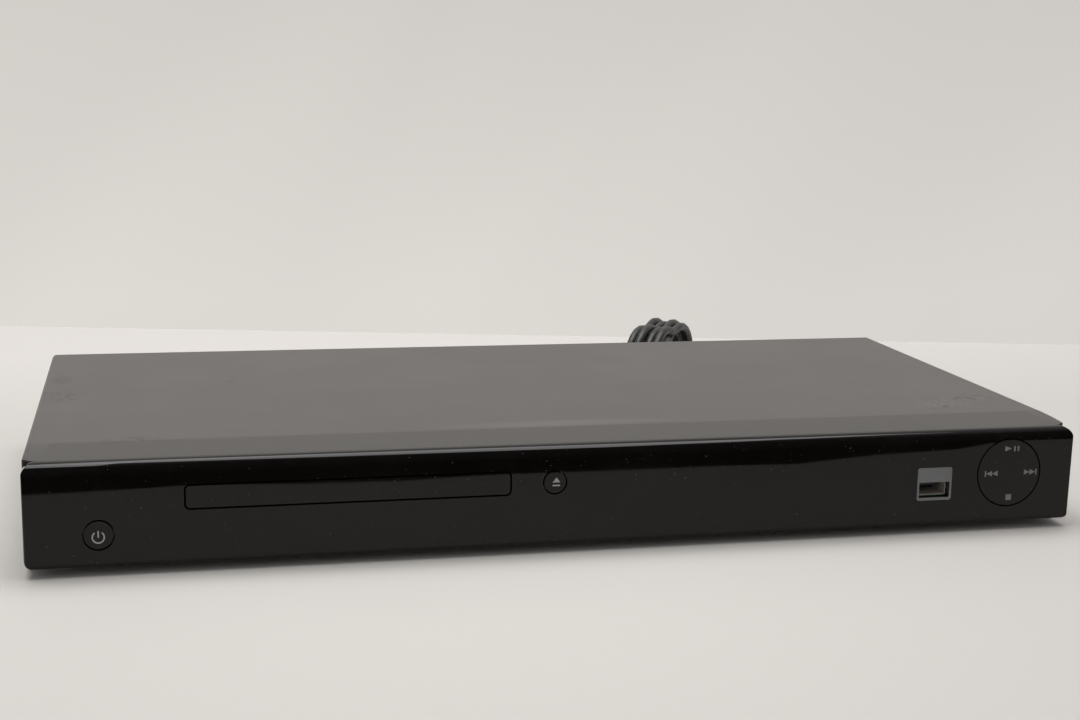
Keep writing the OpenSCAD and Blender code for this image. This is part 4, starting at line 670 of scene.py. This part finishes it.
def make_cover():
    """The folded steel cover, with its bends rounded as a press leaves them."""
    cover = merged_copy("top_cover", "cover")
    reach_over_rebate(cover)
    crease = FRONT_Y + CREASE_D

    def along_crease(a, b):
        at_crease = near(a.y, crease, 0.0003) and near(b.y, crease, 0.0003)
        return at_crease and min(a.z, b.z) > BODY_H - 0.0012 and abs(a.x - b.x) > 0.1

    bevel_where(cover, along_crease, CREASE_ROUND, 4)
    round_edges(cover, COVER_ROUND, 2, 50)
    rides(cover, "base", finishes["cover_paint"], "cover_paint", "top_cover")


def make_bezel():
    bezel = merged_copy("front_bezel", "bezel")
    round_edges(bezel, BEZEL_ROUND, 4, 50)
    rides(bezel, "base", finishes["gloss_black"], "gloss_black", "front_bezel")


def make_controls():
    for node, name, body, edge in (
        ("tray_door", "door", "tray", 0.0004),
        ("power_button", "power_cap", "power_button", 0.0006),
        ("eject_button", "eject_cap", "eject_button", 0.0005),
        ("keypad_disc", "keypad", "keypad_disc", 0.0011),
    ):
        cap = merged_copy(node, name)
        round_edges(cap, edge, 4, 50)
        rides(cap, body, finishes["gloss_black"], "gloss_black", node)


make_cover()
make_bezel()
make_controls()

# ------------------------------------------------------------------ the printed symbols

PRINT_T = 0.00004
PRINT_STROKE = 0.00052
PRINT_CORNER = 0.00009
POWER_MIDDLE = (-0.1880, 0.0152)
EJECT_X = -0.0126
SKIP_ARROW = (0.0027, 0.0024)
SKIP_BAR = (0.0006, 0.0025)
PAUSE_BAR = (0.0008, 0.0022)
LEFT, RIGHT = -math.pi / 2, math.pi / 2


def printed(x, z, wide, high, turn=0, corners=4):
    """A flat mark of a width and height on the face: a bar, or an arrowhead with three corners."""
    if corners == 3:
        bpy.ops.mesh.primitive_cylinder_add(vertices=3, radius=1, depth=1)
        fit = (high if turn else wide) / math.sqrt(3), (wide if turn else high) / 1.5, PRINT_T
        middle = Vector((0, 0.25, 0))
    else:
        bpy.ops.mesh.primitive_cube_add(size=1)
        fit = wide, high, PRINT_T
        middle = Vector((0, 0, 0))
    mark = bpy.context.object
    upright = Matrix.Rotation(turn, 4, "Y") @ Matrix.Rotation(math.pi / 2, 4, "X")
    sized = Matrix.Diagonal((*fit, 1)) @ Matrix.Translation(-middle)
    mark.matrix_world = Matrix.Translation(at(x, 0, z)) @ upright @ sized
    place_in_mesh(mark, "mark")
    bevel_where(mark, lambda a, b: abs(a.y - b.y) > PRINT_T / 2, PRINT_CORNER, 3)
    return mark


def printed_ring(x, z, radius, gap):
    """A ring with a gap at its top, spun from one flat block."""
    start = math.pi / 2 - gap
    bpy.ops.mesh.primitive_cube_add(size=1)
    ring = bpy.context.object
    ring.matrix_world = (
        Matrix.Translation(at(x + radius * math.sin(gap), 0, z + radius * math.cos(gap)))
        @ Matrix.Rotation(-start, 4, "Y")
        @ Matrix.Diagonal((PRINT_STROKE, PRINT_T, PRINT_STROKE * 0.2, 1))
    )
    place_in_mesh(ring, "ring")
    bpy.ops.object.mode_set(mode="EDIT")
    bpy.ops.mesh.select_mode(type="FACE")
    bpy.ops.mesh.select_all(action="DESELECT")
    mesh = bmesh.from_edit_mesh(ring.data)
    ahead = Vector((math.cos(gap), 0, -math.sin(gap)))
    for face in mesh.faces:
        face.select_set(face.normal.dot(ahead) > 0.9)
    bmesh.update_edit_mesh(ring.data)
    round_to_gap = -2 * (math.pi - gap)
    bpy.ops.mesh.spin(steps=48, angle=round_to_gap, center=at(x, 0, z), axis=(0, 1, 0), dupli=False)
    bpy.ops.mesh.select_all(action="SELECT")
    bpy.ops.mesh.remove_doubles(threshold=0.000001)
    bpy.ops.mesh.normals_make_consistent(inside=False)
    bpy.ops.object.mode_set(mode="OBJECT")
    return ring


def skip_mark(x, z, turn):
    """Two arrowheads, and a bar ahead of them."""
    ahead = math.copysign(0.0030, turn)
    return (
        printed(x - 0.0013, z, *SKIP_ARROW, turn, 3),
        printed(x + 0.0013, z, *SKIP_ARROW, turn, 3),
        printed(x + ahead, z, *SKIP_BAR),
    )


def laid_on_face(name, body, ink, *marks):
    """Joins marks and lays them on the leaning face of a button."""
    print_piece = join(*marks)
    print_piece.name = print_piece.data.name = name
    for vertex in print_piece.data.vertices:
        vertex.co.y += face_depth(vertex.co.z) - PRINT_T / 4
    rides(print_piece, body, ink, "grey_plate")


def make_symbols():
    bright = moulded("bright_print", (0.36, 0.35, 0.34), 0.4, 0.0004, 0.000002)
    dim = moulded("dim_print", (0.19, 0.185, 0.18), 0.4, 0.0004, 0.000002)
    power_x, power_z = POWER_MIDDLE
    laid_on_face(
        "power_mark", "power_button", bright,
        printed_ring(power_x, power_z, 0.00217, math.radians(38)),
        printed(power_x, power_z + 0.0012, PRINT_STROKE, 0.0026),
    )
    laid_on_face(
        "eject_mark", "eject_button", bright,
        printed(EJECT_X, 0.0299, 0.0032, 0.0020, corners=3),
        printed(EJECT_X, 0.0277, 0.0030, 0.0006),
    )
    laid_on_face(
        "keypad_marks", "keypad_disc", dim,
        printed(0.1846, 0.0354, 0.0031, 0.0023, RIGHT, 3),
        printed(0.1875, 0.0353, *PAUSE_BAR),
        printed(0.1892, 0.0353, *PAUSE_BAR),
        *skip_mark(0.1775, 0.0248, LEFT),
        *skip_mark(0.1951, 0.0249, RIGHT),
        printed(0.1859, 0.0142, 0.0026, 0.0025),
    )


make_symbols()

# ------------------------------------------------------------------ floor, backdrop and lights


FLOOR = (0.66, 0.635, 0.60)
# Painted shade towards the table's sides and near corners
FLOOR_EDGE_SHADE = (0.60, 0.575, 0.545)
# Painted light near the table's far edge
FLOOR_FAR_LIGHT = (0.68, 0.65, 0.62)
BACKDROP = (0.735, 0.705, 0.665)
BACKDROP_SHADE = (0.69, 0.66, 0.625)


def stage_finish(name):
    return Finish(name, Roughness=0.6, Specular_IOR_Level=0.1)


def show_instead(finish, share, other):
    """Shows another shader in place of the finish's own, by a share."""
    tree = finish.tree
    mix = tree.nodes.new("ShaderNodeMixShader")
    for socket, output in zip(mix.inputs, (share, finish.shader.outputs[0], other)):
        tree.links.new(output, socket)
    tree.links.new(mix.outputs[0], tree.nodes["Material Output"].inputs["Surface"])
    return finish


def dark_in_gloss(finish):
    """Shows painted shade, black, in reflections, standing in for a room's unlit side, and its own
    colour otherwise.
    """
    path = finish.tree.nodes.new("ShaderNodeLightPath")
    black = finish.tree.nodes.new("ShaderNodeEmission")
    black.inputs["Color"].default_value = (0, 0, 0, 1)
    return show_instead(finish, path.outputs["Is Glossy Ray"], black.outputs[0])


def shown_as_written(finish, colour):
    """Shows the written colour to the camera and to clear or glossy surfaces."""
    tree = finish.tree
    path = tree.nodes.new("ShaderNodeLightPath")
    seen = path.outputs["Is Camera Ray"]
    for ray in ("Is Glossy Ray", "Is Transmission Ray"):
        either = tree.nodes.new("ShaderNodeMath")
        either.operation = "MAXIMUM"
        tree.links.new(seen, either.inputs[0])
        tree.links.new(path.outputs[ray], either.inputs[1])
        seen = either.outputs[0]
    plain = tree.nodes.new("ShaderNodeEmission")
    tree.links.new(colour, plain.inputs["Color"])
    return show_instead(finish, seen, plain.outputs[0])


def sheet_mesh(name, rows, finish):
    """A sheet from rows of points."""
    mesh = bpy.data.meshes.new(name)
    wide = len(rows[0])
    mesh.from_pydata(
        [tuple(p) for row in rows for p in row], [],
        [(r * wide + c, r * wide + c + 1, (r + 1) * wide + c + 1, (r + 1) * wide + c)
         for r in range(len(rows) - 1) for c in range(wide - 1)],
    )
    piece = bpy.data.objects.new(name, mesh)
    bpy.context.scene.collection.objects.link(piece)
    mesh.materials.append(finish.material)
    for face in mesh.polygons:
        face.use_smooth = True


STAGE_HALF = 3
TABLE_COLUMNS = 120
CLOTH_COLUMNS = 160
CLOTH_ROWS = 41
CLOTH_LOW = -0.18
CLOTH_STEP = 0.08
ROOM_FRONT_D = -4
WALL_D = 1.75

# The table's far edge runs closer to the right; its near edge steps out at two places across
FAR_EDGE_D = 0.534
FAR_EDGE_X = -0.190
FAR_EDGE_SLOPE = 0.209
NEAR_EDGE_D = 0.146
NEAR_EDGE_STEPS = ((0.18, 0.014), (0.265, 0.025))

# How the cloth sags behind the table: its share of the way to the wall, and its height
CLOTH_SAG = (
    (0, -0.002), (0.02, -0.05), (0.1, -0.2), (0.3, -0.33), (0.6, -0.36), (0.85, -0.33),
    (0.96, -0.25),
)


def across(columns):
    """Evenly spaced places from the stage's left end to its right end."""
    return [-STAGE_HALF + i * 2 * STAGE_HALF / columns for i in range(columns + 1)]


def far_edge(x):
    """How far behind the face the table ends."""
    return FAR_EDGE_D - (x - FAR_EDGE_X) * FAR_EDGE_SLOPE


def near_edge(x):
    """How far ahead of the face the table ends, a little uneven."""
    steps = sum(depth * ease((x - place) / 0.02) for place, depth in NEAR_EDGE_STEPS)
    return NEAR_EDGE_D + 0.003 * math.sin(31 * x) + 0.002 * math.sin(83 * x + 1) + steps


def floor_finish(name):
    """A pale table top, with painted shade away from its middle and painted light near its far
    edge.
    """
    finish = stage_finish(name)
    # Painted shade: the top darkens away from its middle.
    middle = finish.ball(finish.stretched((0.62, 0.62, 1), at(-0.06, 0.02, 0)))
    centred = finish.mixed(finish.spread(middle, 0, 1, 0.55, 0.85), FLOOR_EDGE_SHADE, FLOOR)
    # Painted light: the top grows paler towards its far edge.
    far = finish.spread(finish.along("Y"), 0, 1, FRONT_Y + 0.22, FRONT_Y + 0.44)
    finish.link(finish.mixed(far, centred, FLOOR_FAR_LIGHT), "Base Color")
    return finish


def make_floor():
    """The table, and ahead of it a floor that shows painted shade in reflections."""
    xs = across(TABLE_COLUMNS)
    near_row = [at(x, -near_edge(x), 0) for x in xs]
    far_row = [at(x, far_edge(x) if abs(x) < 2 else 0.5, 0) for x in xs]
    front_row = [at(x, ROOM_FRONT_D, 0) for x in xs]
    sheet_mesh("floor", [near_row, far_row], floor_finish("floor"))
    # Painted shade: the floor ahead of the table shows black in reflections.
    sheet_mesh("floor_front", [front_row, near_row], dark_in_gloss(floor_finish("floor_front")))


def cloth_finish():
    """A pale cloth in soft folds, with painted shade: darker with its height, to the right and in
    its folds.
    """
    finish = stage_finish("backdrop")
    cloud = finish.spread(finish.noise(0.25, 2), 0, 1)
    finish.link(finish.mixed(cloud, shaded(BACKDROP, 0.98), shaded(BACKDROP, 1.02)), "Base Color")
    # Painted shade: darker to the right and higher up.
    side = finish.spread(finish.along("X"), 0, 1, 0.28, 1.05)
    high = finish.spread(finish.along("Z"), 0, 1, -0.173, 0.284)
    low_shade = finish.mixed(side, BACKDROP, BACKDROP_SHADE)
    high_shade = finish.mixed(side, shaded(BACKDROP, 0.885), shaded(BACKDROP_SHADE, 0.91))
    smooth = finish.mixed(high, low_shade, high_shade)
    # Painted shade in the cloth's folds.
    darker = finish.mixed(high, shaded(BACKDROP_SHADE, 0.96), shaded(BACKDROP_SHADE, 0.87))
    folds = finish.noise(0.33, 1.5, 0.4, finish.stretched((1, 1, 3.2), turn=(0, 0.7, 0)))
    return shown_as_written(finish, finish.mixed(finish.spread(folds, 0, 0.5), smooth, darker))


def make_backdrop():
    """A cloth that sags from the table's far edge and rises again well behind it."""
    xs = across(CLOTH_COLUMNS)
    rows = []
    for share, height in CLOTH_SAG:
        rows.append([at(x, far_edge(x) + (WALL_D - far_edge(x)) * share, height) for x in xs])
    for k in range(CLOTH_ROWS):
        height = CLOTH_LOW + k * CLOTH_STEP
        row = []
        for x in xs:
            wide_fold = 0.024 * math.sin(4.5 * x + 2.5 * height)
            fine_fold = 0.012 * math.sin(11 * x - 4.5 * height + 1)
            row.append(at(x, WALL_D + (wide_fold + fine_fold) * min(1, k * 0.2), height))
        rows.append(row)
    sheet_mesh("backdrop", rows, cloth_finish())


WORLD_STRENGTH = 0.42
WORLD_FRONT = 0.03
LIT_SPOT = at(0, 0.1, 0)


def area_light(name, place, size, power):
    """A rectangular lamp that points at the object."""
    data = bpy.data.lights.new(name, "AREA")
    data.shape = "RECTANGLE"
    data.size, data.size_y = size
    data.energy = power
    lamp = bpy.data.objects.new(name, data)
    bpy.context.scene.collection.objects.link(lamp)
    lamp.location = place
    lamp.rotation_euler = (LIT_SPOT - place).to_track_quat("-Z", "Y").to_euler()


def room_world():
    """White light from all round, whose reflection darkens to the front as a deep room does."""
    world = bpy.data.worlds.new("room")
    bpy.context.scene.world = world
    world.use_nodes = True
    tree = world.node_tree
    ground = tree.nodes["Background"]
    ground.inputs["Color"].default_value = (0.98, 0.99, 1.0, 1)
    direction = tree.nodes.new("ShaderNodeTexCoord").outputs["Generated"]
    split = tree.nodes.new("ShaderNodeSeparateXYZ")
    tree.links.new(direction, split.inputs[0])
    depth = tree.nodes.new("ShaderNodeMapRange")
    set_range(depth, -0.35, 0.1, WORLD_FRONT, WORLD_STRENGTH)
    tree.links.new(split.outputs["Y"], depth.inputs["Value"])
    path = tree.nodes.new("ShaderNodeLightPath")
    mix = tree.nodes.new("ShaderNodeMix")
    tree.links.new(path.outputs["Is Glossy Ray"], mix.inputs["Factor"])
    mix.inputs[2].default_value = WORLD_STRENGTH
    tree.links.new(depth.outputs["Result"], mix.inputs[3])
    tree.links.new(mix.outputs[0], ground.inputs["Strength"])


def make_lights():
    room_world()
    area_light("window", at(-0.55, 0.15, 1.7), (0.9, 0.7), 9.5)
    area_light("ceiling", at(0.2, 0.45, 2.0), (1.6, 1.2), 25)


make_floor()
make_backdrop()
make_lights()

bpy.context.scene.view_settings.view_transform = "Standard"
